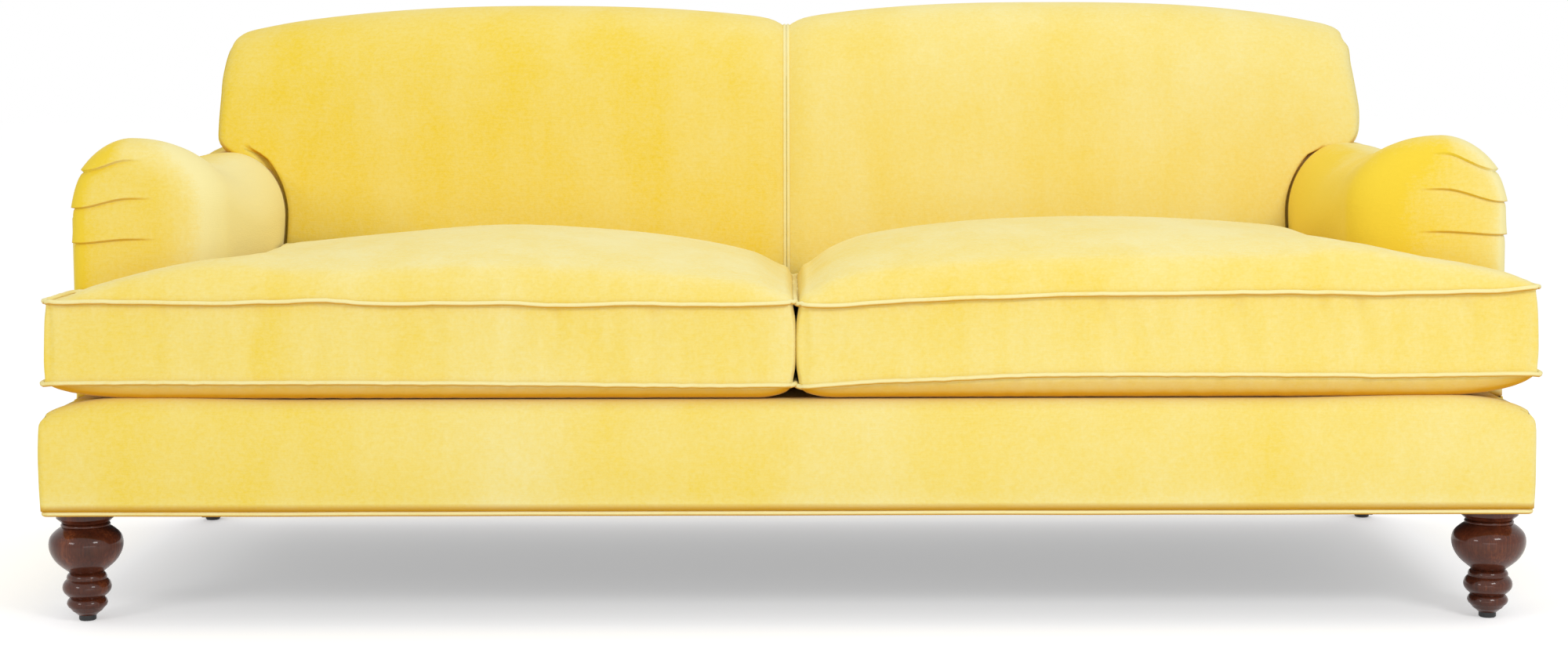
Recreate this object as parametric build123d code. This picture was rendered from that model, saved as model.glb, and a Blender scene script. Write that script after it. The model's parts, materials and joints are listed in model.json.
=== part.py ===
from build123d import *
import os

# A two-seat sofa with English rolled arms, a tight two-arched back, loose T-shaped seat cushions and turned
# front legs. Millimetres, +Z up, the front faces -Y, the origin is on the floor under the middle of the sofa.
# "Left" is the side of negative x, on the left for someone who stands in front of the sofa. "Depth" is always
# measured back from the front face.

# ---------------------------------------------------------------- overall size
WIDTH = 2134.0
DEPTH = 965.0
HEIGHT = 904.0
LEG_HEIGHT = 163.0
FRONT = -DEPTH / 2
SIDE = WIDTH / 2

# ---------------------------------------------------------------- levels above the floor
BASE_BOTTOM = LEG_HEIGHT
DECK_TOP = BASE_BOTTOM + 162.0
RAIL_TOP = DECK_TOP - 24.0
WELT_D = 8.0
BORDER_BOTTOM = BASE_BOTTOM + WELT_D
SPRING_WIRE = 3.6
CLOTH = 1.5
PAD_BOTTOM = RAIL_TOP + SPRING_WIRE + 2 * CLOTH

# ---------------------------------------------------------------- shell and boards
PANEL = 12.0
BOARD = 25.0
WIDE_BOARD = 28.0
INSIDE = SIDE - PANEL
BASE_DEPTH = 880.0
BACK_REAR_DROP = 95.0
REAR_SLOPE = (DEPTH - BASE_DEPTH) / (HEIGHT - BACK_REAR_DROP - BASE_BOTTOM)
SPRING_RAIL_DEPTH = 745.0
BACK_RAIL_DEPTH = BASE_DEPTH - PANEL - BOARD - 2.0
STRETCHER_X = 350.0
STRETCHER_DIP = 40.0
LINER_BOTTOM = DECK_TOP + 16.0
LINER_TOP = LINER_BOTTOM + 60.0

# ---------------------------------------------------------------- arms
ARM_FRONT = 165.0
ARM_OUTER = SIDE - 3.0
ARM_INNER = 850.0
ARM_PEAK = DECK_TOP + 368.0
ARM_DIP = ARM_PEAK - 43.0
ARM_REAR = ARM_PEAK - 25.0
ARM_NOSE = 60.0
ROLL_DROP = 106.0
ROLL_PEAK_FRONT = 968.0
ROLL_PEAK_REAR = 940.0
BULGE_FRONT = 836.0
BULGE_REAR = 824.0
ARM_WALL = 40.0
STUMP_DEPTH = ARM_FRONT + ARM_WALL
STUMP_OUTER = 1046.0
STUMP_INNER = 874.0
STUMP_TOP = ARM_PEAK - 30.0
ARM_RAIL_WIDTH = 60.0
ARM_RAIL_HEIGHT = 42.0
ARM_CAVITY_TOP = ARM_PEAK - 112.0

# ---------------------------------------------------------------- back
BACK_FRONT = 590.0
BACK_HALF = 942.0
BACK_CREST_DEPTH = 782.0
BACK_SHOULDER = 96.0
BACK_RAKE = 62.0
LUMBAR = 16.0
LUMBAR_LEVEL = DECK_TOP + 186.0
CREST_X = 430.0
CENTRE_DIP = 31.0
END_DROP = 44.0
BACK_PAD = 96.0
CENTRE_WELT = 12.0
POST_X = 930.0
POST_DEPTH = 75.0
POST_HEAD = 20.0

# ---------------------------------------------------------------- seat cushions
CUSHION_FRONT = 4.0
CUSHION_BACK = 582.0
CUSHION_OUTER = 1061.0
CUSHION_NECK = 816.0
CUSHION_INNER = 5.0
EAR_BACK = 158.0
BOXING_BOTTOM = DECK_TOP + 26.0
BOXING_TOP = BOXING_BOTTOM + 114.0
CROWN = BOXING_TOP + 86.0
CUSHION_CLEAR = 0.4
CUSHION_WELT = 3.5
FIBRE_WRAP = 18.0
UNDER_CUT = 3.0
PLAN_CORNER = 16.0

# ---------------------------------------------------------------- legs
LEG_X = 1016.0
LEG_DEPTH = 57.0
LEG_COLLAR = 41.5
GLIDE_TOP = 8.0
GLIDE_R = 12.4
REAR_LEG_DEPTH = 828.0
REAR_LEG_RAKE = 66.0
REAR_LEG_TOP = 56.0
REAR_LEG_FOOT = 34.0
REAR_LEG_EDGE = 3.5
REAR_GLIDE_TOP = 6.0
BLOCK = 92.0
BLOCK_HEIGHT = 38.0
BOLT_R = 4.0
BOLT_IN_LEG = 42.0
NUT_R = BOLT_R + 1.5
NUT_BARREL = 12.0
NUT_FLANGE = 2.0
NUT_FLANGE_R = 9.5

# ---------------------------------------------------------------- seat suspension
SPRING_COUNT = 9
SPRING_BARS = 15
SPRING_WIDTH = 56.0
CLIP = 20.0
STRAP = 50.0
STRAP_THICK = 2.0
STRAP_PITCH = 132.0
STRAPS_EACH_SIDE = 6


# ================================================================ helpers
def block(x0, x1, d0, d1, z0, z1):
    """A square-edged board or panel between two x, depth and height limits."""
    return Pos((x0 + x1) / 2, FRONT + (d0 + d1) / 2, (z0 + z1) / 2) * Box(x1 - x0, d1 - d0, z1 - z0)


def prism_across(outline, x0, x1):
    """A solid that runs along X, from an outline of (depth, height) points."""
    wire = Polyline(*[(x0, FRONT + d, z) for d, z in outline], close=True)
    return extrude(make_face(wire), amount=x1 - x0, dir=(1, 0, 0))


def other_side(shape):
    return mirror(shape, about=Plane.YZ)


def save(name, shape):
    shape.label = name
    export_step(shape, f"parts/{name}.step")


def save_pair(name, left):
    save(f"left_{name}", left)
    save(f"right_{name}", other_side(left))


def rear_depth(z, inward=0.0):
    """Depth of the raked back of the sofa at a height, measured on the outside or a distance inside it."""
    return BASE_DEPTH + (z - BASE_BOTTOM) * REAR_SLOPE - inward


def raked_slab(outer, inner, z0, z1, half):
    """A slab parallel to the raked back, between two distances in from its outside face."""
    outline = [
        (rear_depth(z0, inner), z0),
        (rear_depth(z0, outer), z0),
        (rear_depth(z1, outer), z1),
        (rear_depth(z1, inner), z1),
    ]
    return prism_across(outline, -half, half)


def behind_the_panel():
    """Everything behind the inner face of the outside back, which every pad and board stops at."""
    low, high = 100.0, HEIGHT + 60.0
    outline = [
        (rear_depth(low, PANEL), low),
        (DEPTH + 200.0, low),
        (DEPTH + 200.0, high),
        (rear_depth(high, PANEL), high),
    ]
    return prism_across(outline, -SIDE - 20, SIDE + 20)


# ================================================================ legs and their fixings
def turned_leg():
    """Front leg: collar, fine bead, tall vase, smaller bead, a ring, and a ring that tapers to the foot."""
    top, foot = LEG_HEIGHT, GLIDE_TOP
    collar = Polyline((0, top), (LEG_COLLAR, top), (LEG_COLLAR, 151), (33.2, 143.6), (32.2, 143))
    bead = ThreePointArc((32.2, 143), (35.2, 140.6), (33.8, 138))
    vase = Spline(
        (33.8, 138), (43.6, 131.5), (50.2, 124.0), (52.9, 113.5), (50.9, 101.0), (45.5, 90.6), (36.0, 80.4),
        (27.2, 73.4), (23.6, 70.4), tangents=[(1, -0.45), (-1, -0.85)],
    )
    small_bead = ThreePointArc((23.6, 70.4), (28.0, 66.2), (28.2, 60.8))
    ring = Spline(
        (28.2, 60.8), (33.2, 55.2), (34.8, 49.0), (33.2, 42.8), (28.6, 37.4), (24.2, 33.8),
        tangents=[(1, -0.7), (-1, -0.8)],
    )
    foot_ring = Spline(
        (24.2, 33.8), (27.8, 29.8), (29.0, 25.4), (26.9, 20.4), tangents=[(1, -0.75), (-0.6, -1)]
    )
    taper = Polyline((26.9, 20.4), (25.8, 20.0), (21.0, 13.9), (20.2, 13.5), (GLIDE_R + 0.9, foot))
    core = Polyline((GLIDE_R + 0.9, foot), (0, foot), (0, top))
    outline = make_face([collar, bead, vase, small_bead, ring, foot_ring, taper, core])
    return revolve(Plane.XZ * outline, Axis.Z)


def front_leg():
    leg = turned_leg() - Pos(0, 0, BASE_BOTTOM - BOLT_IN_LEG / 2) * Cylinder(BOLT_R, BOLT_IN_LEG)
    return Pos(-LEG_X, FRONT + LEG_DEPTH, 0) * leg


def rear_leg():
    """Rear leg: square, tapered and raked back, as sofas with turned front legs usually have."""
    top_plan = RectangleRounded(REAR_LEG_TOP, REAR_LEG_TOP, REAR_LEG_EDGE)
    foot_plan = RectangleRounded(REAR_LEG_FOOT, REAR_LEG_FOOT, REAR_LEG_EDGE)
    top_face = Pos(-LEG_X, FRONT + REAR_LEG_DEPTH, BASE_BOTTOM) * top_plan
    foot_depth = REAR_LEG_DEPTH + REAR_LEG_RAKE
    foot_face = Pos(-LEG_X, FRONT + foot_depth, REAR_GLIDE_TOP) * foot_plan
    bore = Pos(-LEG_X, FRONT + REAR_LEG_DEPTH, BASE_BOTTOM - BOLT_IN_LEG / 2) * Cylinder(BOLT_R, BOLT_IN_LEG)
    return loft([foot_face, top_face]) - bore


def glide(height, radius):
    """A nylon glide with a flat foot and a bevelled rim."""
    puck = Pos(0, 0, height / 2) * Cylinder(radius, height)
    return chamfer(puck.edges().sort_by(Axis.Z)[0], 1.5)


def leg_axes():
    """The four bolt axes, front pair then rear pair."""
    return [(x, FRONT + d) for d in (LEG_DEPTH, REAR_LEG_DEPTH) for x in (-LEG_X, LEG_X)]


def hanger_bolts():
    length = BOLT_IN_LEG + BLOCK_HEIGHT + NUT_FLANGE + 3
    middle = BASE_BOTTOM - BOLT_IN_LEG + length / 2
    return Compound([Pos(x, y, middle) * Cylinder(BOLT_R, length) for x, y in leg_axes()])


def tee_nut():
    """Barrel pressed into the block from above, with its round flange on top."""
    top = BASE_BOTTOM + BLOCK_HEIGHT
    barrel = Pos(0, 0, top - NUT_BARREL / 2) * Cylinder(NUT_R, NUT_BARREL)
    flange = Pos(0, 0, top + NUT_FLANGE / 2) * Cylinder(NUT_FLANGE_R, NUT_FLANGE)
    return barrel + flange - Pos(0, 0, top) * Cylinder(BOLT_R, 40)


def tee_nuts():
    return Compound([Pos(x, y, 0) * tee_nut() for x, y in leg_axes()])


def corner_block(front):
    """The block in a corner of the base that a leg screws up into, with its free corner cut off."""
    inner = INSIDE - BOARD
    d0 = PANEL + BOARD if front else BACK_RAIL_DEPTH - BLOCK
    post = block(-inner, -inner + BLOCK, d0, d0 + BLOCK, BASE_BOTTOM, BASE_BOTTOM + BLOCK_HEIGHT)
    free = d0 + BLOCK if front else d0
    corner = post.edges().filter_by(Axis.Z).sort_by_distance((-inner + BLOCK, FRONT + free, BASE_BOTTOM))[0]
    return chamfer(corner, 28)


def corner_blocks():
    lefts = [corner_block(True), corner_block(False)]
    bored = Compound(lefts + [other_side(b) for b in lefts])
    for x, y in leg_axes():
        bored -= Pos(x, y, BASE_BOTTOM + BLOCK_HEIGHT / 2) * Cylinder(BOLT_R, BLOCK_HEIGHT)
        bored -= Pos(x, y, BASE_BOTTOM + BLOCK_HEIGHT - NUT_BARREL / 2) * Cylinder(NUT_R, NUT_BARREL)
    return bored


# ================================================================ base frame
def front_rail():
    return block(-INSIDE + BOARD, INSIDE - BOARD, PANEL, PANEL + BOARD, BASE_BOTTOM, RAIL_TOP)


def back_rail():
    d0 = BACK_RAIL_DEPTH
    return block(-INSIDE + BOARD, INSIDE - BOARD, d0, d0 + BOARD, BASE_BOTTOM, RAIL_TOP)


def end_rail():
    return block(-INSIDE, -INSIDE + BOARD, PANEL, BACK_RAIL_DEPTH + BOARD, BASE_BOTTOM, RAIL_TOP)


def spring_rail():
    """Cross rail under the front of the back, which the springs run back to."""
    d0 = SPRING_RAIL_DEPTH
    inner = INSIDE - BOARD
    return block(-inner, inner, d0, d0 + BOARD, BASE_BOTTOM + BLOCK_HEIGHT + 20, RAIL_TOP)


def seat_stretchers():
    """Two boards on edge that keep the front and spring rails apart, below the springs, hollowed on top."""
    shapes = []
    d0, d1 = PANEL + BOARD, SPRING_RAIL_DEPTH
    top = RAIL_TOP - 10
    half = (d1 - d0) / 2 - 40
    radius = (half**2 + STRETCHER_DIP**2) / (2 * STRETCHER_DIP)
    middle = FRONT + (d0 + d1) / 2
    for x in (-STRETCHER_X, STRETCHER_X):
        stretcher = block(x - BOARD / 2, x + BOARD / 2, d0, d1, BASE_BOTTOM + 40, top)
        scoop = Pos(x, middle, top - STRETCHER_DIP + radius) * Rot(0, 90, 0) * Cylinder(radius, BOARD + 2)
        shapes.append(stretcher - scoop)
    return Compound(shapes)


# ================================================================ arm frame
def arm_stump():
    """Front board of the arm, sawn to the outline of the roll, standing on the end rail."""
    middle = -(STUMP_OUTER + STUMP_INNER) / 2
    half = (STUMP_OUTER - STUMP_INNER) / 2
    y = FRONT + STUMP_DEPTH
    shoulder = STUMP_TOP - half
    sides = Polyline(
        (-STUMP_OUTER, y, shoulder), (-STUMP_OUTER, y, RAIL_TOP), (-STUMP_INNER, y, RAIL_TOP),
        (-STUMP_INNER, y, shoulder),
    )
    head = ThreePointArc((-STUMP_INNER, y, shoulder), (middle, y, STUMP_TOP), (-STUMP_OUTER, y, shoulder))
    return extrude(make_face([sides, head]), amount=WIDE_BOARD, dir=(0, 1, 0))


def arm_top_line(rise, x):
    """The scooped line of the arm's top rail: high at the stump, low at mid arm, rising to the back."""
    d0 = STUMP_DEPTH + WIDE_BOARD
    low = ARM_DIP - 26 + rise
    high = ARM_REAR - 30 + rise
    return Spline(
        (x, FRONT + d0, ARM_PEAK - 44 + rise), (x, FRONT + 450, low), (x, FRONT + 620, high - 4),
        (x, FRONT + 1000, high),
    )


def arm_rail():
    """Sawn top rail of the arm, from the stump back along the outside of the back post."""
    x = -POST_X - ARM_RAIL_WIDTH
    upper = arm_top_line(0, x)
    lower = arm_top_line(-ARM_RAIL_HEIGHT, x)
    ends = [Line(upper @ 0, lower @ 0), Line(upper @ 1, lower @ 1)]
    rail = extrude(make_face([upper, lower, *ends]), amount=ARM_RAIL_WIDTH, dir=(1, 0, 0))
    return rail - behind_the_panel()


def arm_liner():
    """Low inner rail of the arm, which the inside fabric is pulled round and tacked to."""
    inner = ARM_INNER + ARM_WALL
    d0 = STUMP_DEPTH + WIDE_BOARD
    rail = block(-inner - BOARD, -inner, d0, BASE_DEPTH, LINER_BOTTOM, LINER_TOP)
    return rail - raked_slab(0, PANEL + POST_DEPTH + WIDE_BOARD, RAIL_TOP, LINER_TOP + 40, SIDE)


# ================================================================ back frame
def back_post(x):
    """A raked post notched over the back rail, its head sawn to the arch a little under the top rail's."""
    rear = PANEL
    front = rear + POST_DEPTH
    foot = BACK_RAIL_DEPTH
    outline = [
        (foot - 50, BASE_BOTTOM), (foot, BASE_BOTTOM), (foot, RAIL_TOP),
        (rear_depth(RAIL_TOP, rear), RAIL_TOP), (rear_depth(HEIGHT, rear), HEIGHT),
        (rear_depth(HEIGHT, front), HEIGHT), (rear_depth(RAIL_TOP, front), RAIL_TOP),
    ]
    post = prism_across(outline, x, x + WIDE_BOARD)
    return post & arched_block(POST_X, BASE_BOTTOM, BACK_PAD + POST_HEAD, 0)


def arched_block(half, lower, drop, corner):
    """A block as deep as the sofa, topped with the back's twin arches a little lower, and rounded."""
    y = FRONT
    crest = HEIGHT - drop
    dip = crest - CENTRE_DIP
    end = crest - END_DROP
    left = Spline((-half, y, end), (-CREST_X, y, crest), (0, y, dip), tangents=[(1, 0, 0.45), (1, 0, -0.14)])
    right = Spline((0, y, dip), (CREST_X, y, crest), (half, y, end), tangents=[(1, 0, 0.14), (1, 0, -0.45)])
    legs = Polyline((half, y, end), (half, y, lower), (-half, y, lower), (-half, y, end))
    face = make_face([left, right, legs])
    if corner:
        shoulders = [v for v in face.vertices() if abs(v.X) > half - 1 and v.Z > lower + 1]
        face = fillet(shoulders, corner)
    return extrude(face, amount=DEPTH + 100, dir=(0, 1, 0))


def back_top_rail():
    """Sawn top rail of the back, with the twin arches, screwed to the front of the three posts."""
    front = PANEL + POST_DEPTH
    slab = raked_slab(front, front + WIDE_BOARD, RAIL_TOP, HEIGHT, SIDE)
    return slab & arched_block(POST_X, HEIGHT - 214, BACK_PAD, 0)


def back_liner_rail():
    """Low rail of the back, across the posts just above the seat springs."""
    front = PANEL + POST_DEPTH
    return raked_slab(front, front + WIDE_BOARD, LINER_BOTTOM, LINER_TOP, POST_X)


def back_straps():
    """Jute straps on the front of the back frame, tacked to the liner rail and the top rail."""
    front = PANEL + POST_DEPTH + WIDE_BOARD
    slab = raked_slab(front, front + STRAP_THICK, LINER_BOTTOM + 5, HEIGHT - BACK_PAD - END_DROP, SIDE)
    straps = []
    for side in (-1, 1):
        for n in range(STRAPS_EACH_SIDE):
            x = side * (n + 0.85) * STRAP_PITCH
            straps.append(slab & block(x - STRAP / 2, x + STRAP / 2, BACK_FRONT, DEPTH, RAIL_TOP, HEIGHT))
    return Compound(straps)


# ================================================================ seat suspension and deck
def zigzag_spring(x):
    """One sinuous spring as square wire: cross bars joined by chamfered bends, front rail to spring rail."""
    y0 = FRONT + PANEL + BOARD / 2
    y1 = FRONT + SPRING_RAIL_DEPTH + BOARD / 2
    pitch = (y1 - y0) / (SPRING_BARS - 1)
    half = SPRING_WIDTH / 2
    cut = pitch * 0.3
    z = RAIL_TOP + SPRING_WIRE / 2
    points = [(x - half, y0, z)]
    for n in range(SPRING_BARS - 1):
        side = 1 if n % 2 == 0 else -1
        y = y0 + n * pitch
        points.append((x + side * (half - cut), y, z))
        points.append((x + side * half, y + cut, z))
        points.append((x + side * half, y + pitch - cut, z))
        points.append((x + side * (half - cut), y + pitch, z))
    last = 1 if (SPRING_BARS - 1) % 2 == 0 else -1
    points.append((x + last * half, y1, z))
    path = Polyline(*points)
    section = Plane(origin=points[0], z_dir=(1, 0, 0)) * Rectangle(SPRING_WIRE, SPRING_WIRE)
    return sweep(section, path=path, transition=Transition.RIGHT)


def spring_places():
    reach = ARM_INNER - 60.0
    return [-reach + n * 2 * reach / (SPRING_COUNT - 1) for n in range(SPRING_COUNT)]


def seat_springs():
    return Compound([zigzag_spring(x) for x in spring_places()])


def spring_clips():
    """Folded clips nailed on the rails: each one a saddle over the end bar of a spring."""
    clips = []
    for x in spring_places():
        for d in (PANEL + BOARD / 2, SPRING_RAIL_DEPTH + BOARD / 2):
            clip = block(x - CLIP / 2, x + CLIP / 2, d - 7, d + 7, RAIL_TOP, RAIL_TOP + SPRING_WIRE + CLOTH)
            wire = block(x - CLIP, x + CLIP, d - SPRING_WIRE / 2, d + SPRING_WIRE / 2,
                         RAIL_TOP, RAIL_TOP + SPRING_WIRE)
            clips.append(clip - wire)
    return Compound(clips)


def deck_outline(front, ear, z0, z1, tail):
    """T-shaped plan of the seat platform: wide in front of the arms, narrower between them."""
    wide = INSIDE - BOARD
    neck = ARM_INNER - 2
    return block(-wide, wide, front, ear, z0, z1) + block(-neck, neck, ear, tail, z0, z1)


def deck_cloth():
    top = RAIL_TOP + SPRING_WIRE + CLOTH
    return deck_outline(PANEL + 4, ARM_FRONT, top, top + CLOTH, SPRING_RAIL_DEPTH + BOARD)


def deck_pad():
    return deck_outline(PANEL + BOARD + 10, ARM_FRONT, PAD_BOTTOM, DECK_TOP, BACK_FRONT - 1)


# ================================================================ base upholstery
def base_border():
    """Padded border round the front of the base, rounded at its corners and rolled over the top edge."""
    outer = block(-SIDE, SIDE, 0, ARM_FRONT, BORDER_BOTTOM, DECK_TOP)
    corners = outer.edges().filter_by(Axis.Z).group_by(Axis.Y)[0]
    outer = fillet(corners, 26)
    rim = [e for e in outer.edges().group_by(Axis.Z)[-1] if e.center().Y < FRONT + ARM_FRONT - 1]
    outer = fillet(rim, 22)
    inside = block(-INSIDE, INSIDE, PANEL, ARM_FRONT + 5, BORDER_BOTTOM - 5, PAD_BOTTOM)
    wide = INSIDE - BOARD
    well = block(-wide, wide, PANEL + BOARD + 10, ARM_FRONT + 5, PAD_BOTTOM - 1, DECK_TOP + 5)
    return outer - inside - well


def base_welt():
    """Cord in a fold of cloth all round the lower edge of the base."""
    r = WELT_D / 2
    z = BASE_BOTTOM + r
    width = WIDTH - WELT_D
    length = rear_depth(z) - WELT_D
    middle = FRONT + r + length / 2
    path = Pos(0, middle, z) * RectangleRounded(width, length, 15).wire()
    start = path @ 0
    section = Plane(origin=start, z_dir=path % 0) * Circle(r)
    return sweep(section, path=path)


def dust_cover():
    """Thin cloth under the rails, cut round the tops of the legs."""
    rear = BACK_RAIL_DEPTH + BOARD - 6
    sheet = block(-INSIDE + 6, INSIDE - 6, PANEL + 6, rear, BASE_BOTTOM - CLOTH, BASE_BOTTOM)
    for x, y in leg_axes()[:2]:
        sheet -= Pos(x, y, BASE_BOTTOM) * Cylinder(LEG_COLLAR + 1, 20)
    for x, y in leg_axes()[2:]:
        sheet -= Pos(x, y, BASE_BOTTOM) * Box(REAR_LEG_TOP + 4, REAR_LEG_TOP + 4, 20)
    return sheet


# ================================================================ arm upholstery
def arm_section(depth, top, peak, bulge, inset):
    """Outline across the left arm: straight outside, the roll over the top, and a hollowed inner side."""
    y = FRONT + depth
    outer = -ARM_OUTER
    foot = -ARM_INNER - inset
    inner = -bulge - inset
    crown = top - inset
    side = Line((outer, y, PAD_BOTTOM), (outer, y, crown - ROLL_DROP))
    roll = Spline(
        (outer, y, crown - ROLL_DROP), (-peak, y, crown), (inner, y, crown - ROLL_DROP),
        tangents=[(0, 0, 1), (1, 0, 0), (0, 0, -1)],
    )
    hollow = Spline(
        (inner, y, crown - ROLL_DROP), (foot, y, PAD_BOTTOM), tangents=[(0, 0, -1), (0, 0, -1)]
    )
    base = Line((foot, y, PAD_BOTTOM), (outer, y, PAD_BOTTOM))
    return make_face([side, roll, hollow, base])


def arm_body():
    """The whole outer form of the left arm, from its rounded front to behind the back posts."""
    nose = [
        arm_section(ARM_FRONT, ARM_PEAK - 6, ROLL_PEAK_FRONT, BULGE_FRONT, 24),
        arm_section(ARM_FRONT + 9, ARM_PEAK - 4, ROLL_PEAK_FRONT, BULGE_FRONT, 11),
        arm_section(ARM_FRONT + 28, ARM_PEAK - 2, ROLL_PEAK_FRONT, BULGE_FRONT, 3),
        arm_section(ARM_FRONT + ARM_NOSE, ARM_PEAK, ROLL_PEAK_FRONT, BULGE_FRONT, 0),
    ]
    length = [
        arm_section(ARM_FRONT + ARM_NOSE, ARM_PEAK, ROLL_PEAK_FRONT, BULGE_FRONT, 0),
        arm_section(
            340, (ARM_PEAK + ARM_DIP) / 2 - 3, (ROLL_PEAK_FRONT + ROLL_PEAK_REAR) / 2, BULGE_FRONT - 3, 0
        ),
        arm_section(450, ARM_DIP, ROLL_PEAK_REAR + 6, BULGE_REAR + 3, 0),
        arm_section(600, ARM_REAR - 5, ROLL_PEAK_REAR, BULGE_REAR, 0),
        arm_section(780, ARM_REAR + 1, ROLL_PEAK_REAR, BULGE_REAR, 0),
        arm_section(DEPTH + 30, ARM_REAR, ROLL_PEAK_REAR, BULGE_REAR, 0),
    ]
    return loft(nose) + loft(length) - behind_the_panel()


def arm_frame_space():
    """What the arm's padding leaves empty: the bay behind the stump, and room for each board."""
    inner = ARM_INNER + ARM_WALL
    bay = block(-SIDE - 10, -inner, STUMP_DEPTH, DEPTH + 50, PAD_BOTTOM - 10, ARM_CAVITY_TOP)
    return [bay, arm_stump(), arm_rail(), back_post(-POST_X), back_liner_rail(), back_top_rail(), end_rail()]


def outside_arm():
    """Outer panel of the arm and the base end, tucked up under the roll and stopped at the back."""
    outline = [
        (ARM_FRONT, BORDER_BOTTOM), (DEPTH + 50, BORDER_BOTTOM), (DEPTH + 50, ARM_CAVITY_TOP),
        (STUMP_DEPTH, ARM_CAVITY_TOP), (STUMP_DEPTH, PAD_BOTTOM), (ARM_FRONT, PAD_BOTTOM),
    ]
    return prism_across(outline, -SIDE, -INSIDE) - behind_the_panel()


# ================================================================ back upholstery
def back_top(x):
    """Height of the back's top line at a distance from the middle: a valley, an arch, then a falling end."""
    if x < CREST_X:
        t = x / CREST_X
        return HEIGHT - CENTRE_DIP * (1 - t) ** 2
    t = (x - CREST_X) / (BACK_HALF - CREST_X)
    return HEIGHT - END_DROP * t**2.2


def back_section(x, inset):
    """Outline front to back at a place across: a raked, slightly full front rolled over to the rear face."""
    top = back_top(abs(x)) - inset
    low = PAD_BOTTOM
    front = BACK_FRONT + inset
    shoulder = top - BACK_SHOULDER
    rear_top = top - BACK_REAR_DROP
    face = Spline(
        (x, FRONT + front, low),
        (x, FRONT + front + LUMBAR, LUMBAR_LEVEL),
        (x, FRONT + front + BACK_RAKE, shoulder),
        (x, FRONT + BACK_CREST_DEPTH, top),
        (x, FRONT + rear_depth(rear_top, PANEL), rear_top),
        tangents=[(0, 0, 1), (0, 0.11, 1), (0, 0.42, 1), (0, 1, 0), (0, 0.3, -1)],
    )
    rear = Line((x, FRONT + rear_depth(rear_top, PANEL), rear_top), (x, FRONT + rear_depth(low, PANEL), low))
    base = Line((x, FRONT + rear_depth(low, PANEL), low), (x, FRONT + front, low))
    return make_face([face, rear, base])


def back_half_body():
    """The left half of the back, from its rounded end to the seam in the middle."""
    end = [back_section(-BACK_HALF, 34), back_section(-BACK_HALF + 9, 15), back_section(-BACK_HALF + 32, 2)]
    run = [back_section(x, 0) for x in (-BACK_HALF + 80, -CREST_X - 200, -CREST_X, -200, -60)]
    seam = [back_section(-20, 3), back_section(0, 12)]
    return loft(end + run + seam)


def back_frame_space():
    """What the back's padding leaves empty: the bay behind the straps, under the top rail."""
    front = PANEL + POST_DEPTH + WIDE_BOARD + STRAP_THICK
    bay = raked_slab(PANEL, front, PAD_BOTTOM - 10, HEIGHT, SIDE)
    return bay & arched_block(POST_X, PAD_BOTTOM - 10, BACK_PAD, 0)


def centre_welt():
    """Flat double welt that covers the middle seam, from the deck up over the top to the rear face."""
    outer = back_section(0, 9)
    inner = back_section(0, 19)
    band = extrude(outer, amount=CENTRE_WELT / 2, dir=(1, 0, 0), both=True)
    core = extrude(inner, amount=CENTRE_WELT, dir=(1, 0, 0), both=True)
    keep = block(-CENTRE_WELT, CENTRE_WELT, 400, DEPTH + 50, DECK_TOP, HEIGHT)
    return (band - core) & keep


def outside_back():
    """Flat panel over the rear: as wide as the base up to the arms, then narrower up to the arches."""
    slab = raked_slab(0, PANEL, BORDER_BOTTOM, HEIGHT, SIDE)
    lower = block(-SIDE, SIDE, 700, DEPTH + 50, BORDER_BOTTOM, ARM_CAVITY_TOP)
    rolls = arm_section(700, ARM_REAR, ROLL_PEAK_REAR, BULGE_REAR, 0)
    roll = extrude(rolls, amount=DEPTH - 600, dir=(0, 1, 0))
    upper = arched_block(BACK_HALF - 34, ARM_CAVITY_TOP - 100, BACK_REAR_DROP + 2, 44)
    return slab & (lower + roll + other_side(roll) + upper)


# ================================================================ seat cushions
def cushion_plan(inset, z0, z1):
    """T-shaped plan of the left cushion: a full seat with an ear that reaches in front of the arm."""
    outline = [
        (-CUSHION_INNER - inset, CUSHION_FRONT + inset), (-CUSHION_OUTER + inset, CUSHION_FRONT + inset),
        (-CUSHION_OUTER + inset, EAR_BACK - inset), (-CUSHION_NECK + inset, EAR_BACK - inset),
        (-CUSHION_NECK + inset, CUSHION_BACK - inset), (-CUSHION_INNER - inset, CUSHION_BACK - inset),
    ]
    face = make_face(Polyline(*[(x, FRONT + d, z0) for x, d in outline], close=True))
    corners = face.vertices()
    return fillet(corners, PLAN_CORNER), z1 - z0


def crown_across(inset):
    """Front view of the cushion: straight boxing, a high crown and a rounded underside."""
    x0, x1 = -CUSHION_OUTER, -CUSHION_INNER
    low = DECK_TOP + CUSHION_CLEAR + inset
    high = CROWN - inset
    y = FRONT
    top = Spline(
        (x0, y, BOXING_TOP - inset), (-870, y, high - 50), (-420, y, high), (-140, y, high - 22),
        (x1, y, BOXING_TOP + 12 - inset),
    )
    outer = Line((x0, y, BOXING_TOP - inset), (x0, y, BOXING_BOTTOM + inset))
    inner = Line((x1, y, BOXING_TOP + 12 - inset), (x1, y, BOXING_BOTTOM + inset))
    turn_out = Spline((x0, y, BOXING_BOTTOM + inset), (x0 + 70, y, low), tangents=[(1, 0, -0.9), (1, 0, 0)])
    flat = Line((x0 + 70, y, low), (x1 - 70, y, low))
    turn_in = Spline((x1 - 70, y, low), (x1, y, BOXING_BOTTOM + inset), tangents=[(1, 0, 0), (1, 0, 0.9)])
    return extrude(make_face([top, outer, inner, turn_out, flat, turn_in]), amount=700, dir=(0, 1, 0))


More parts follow.
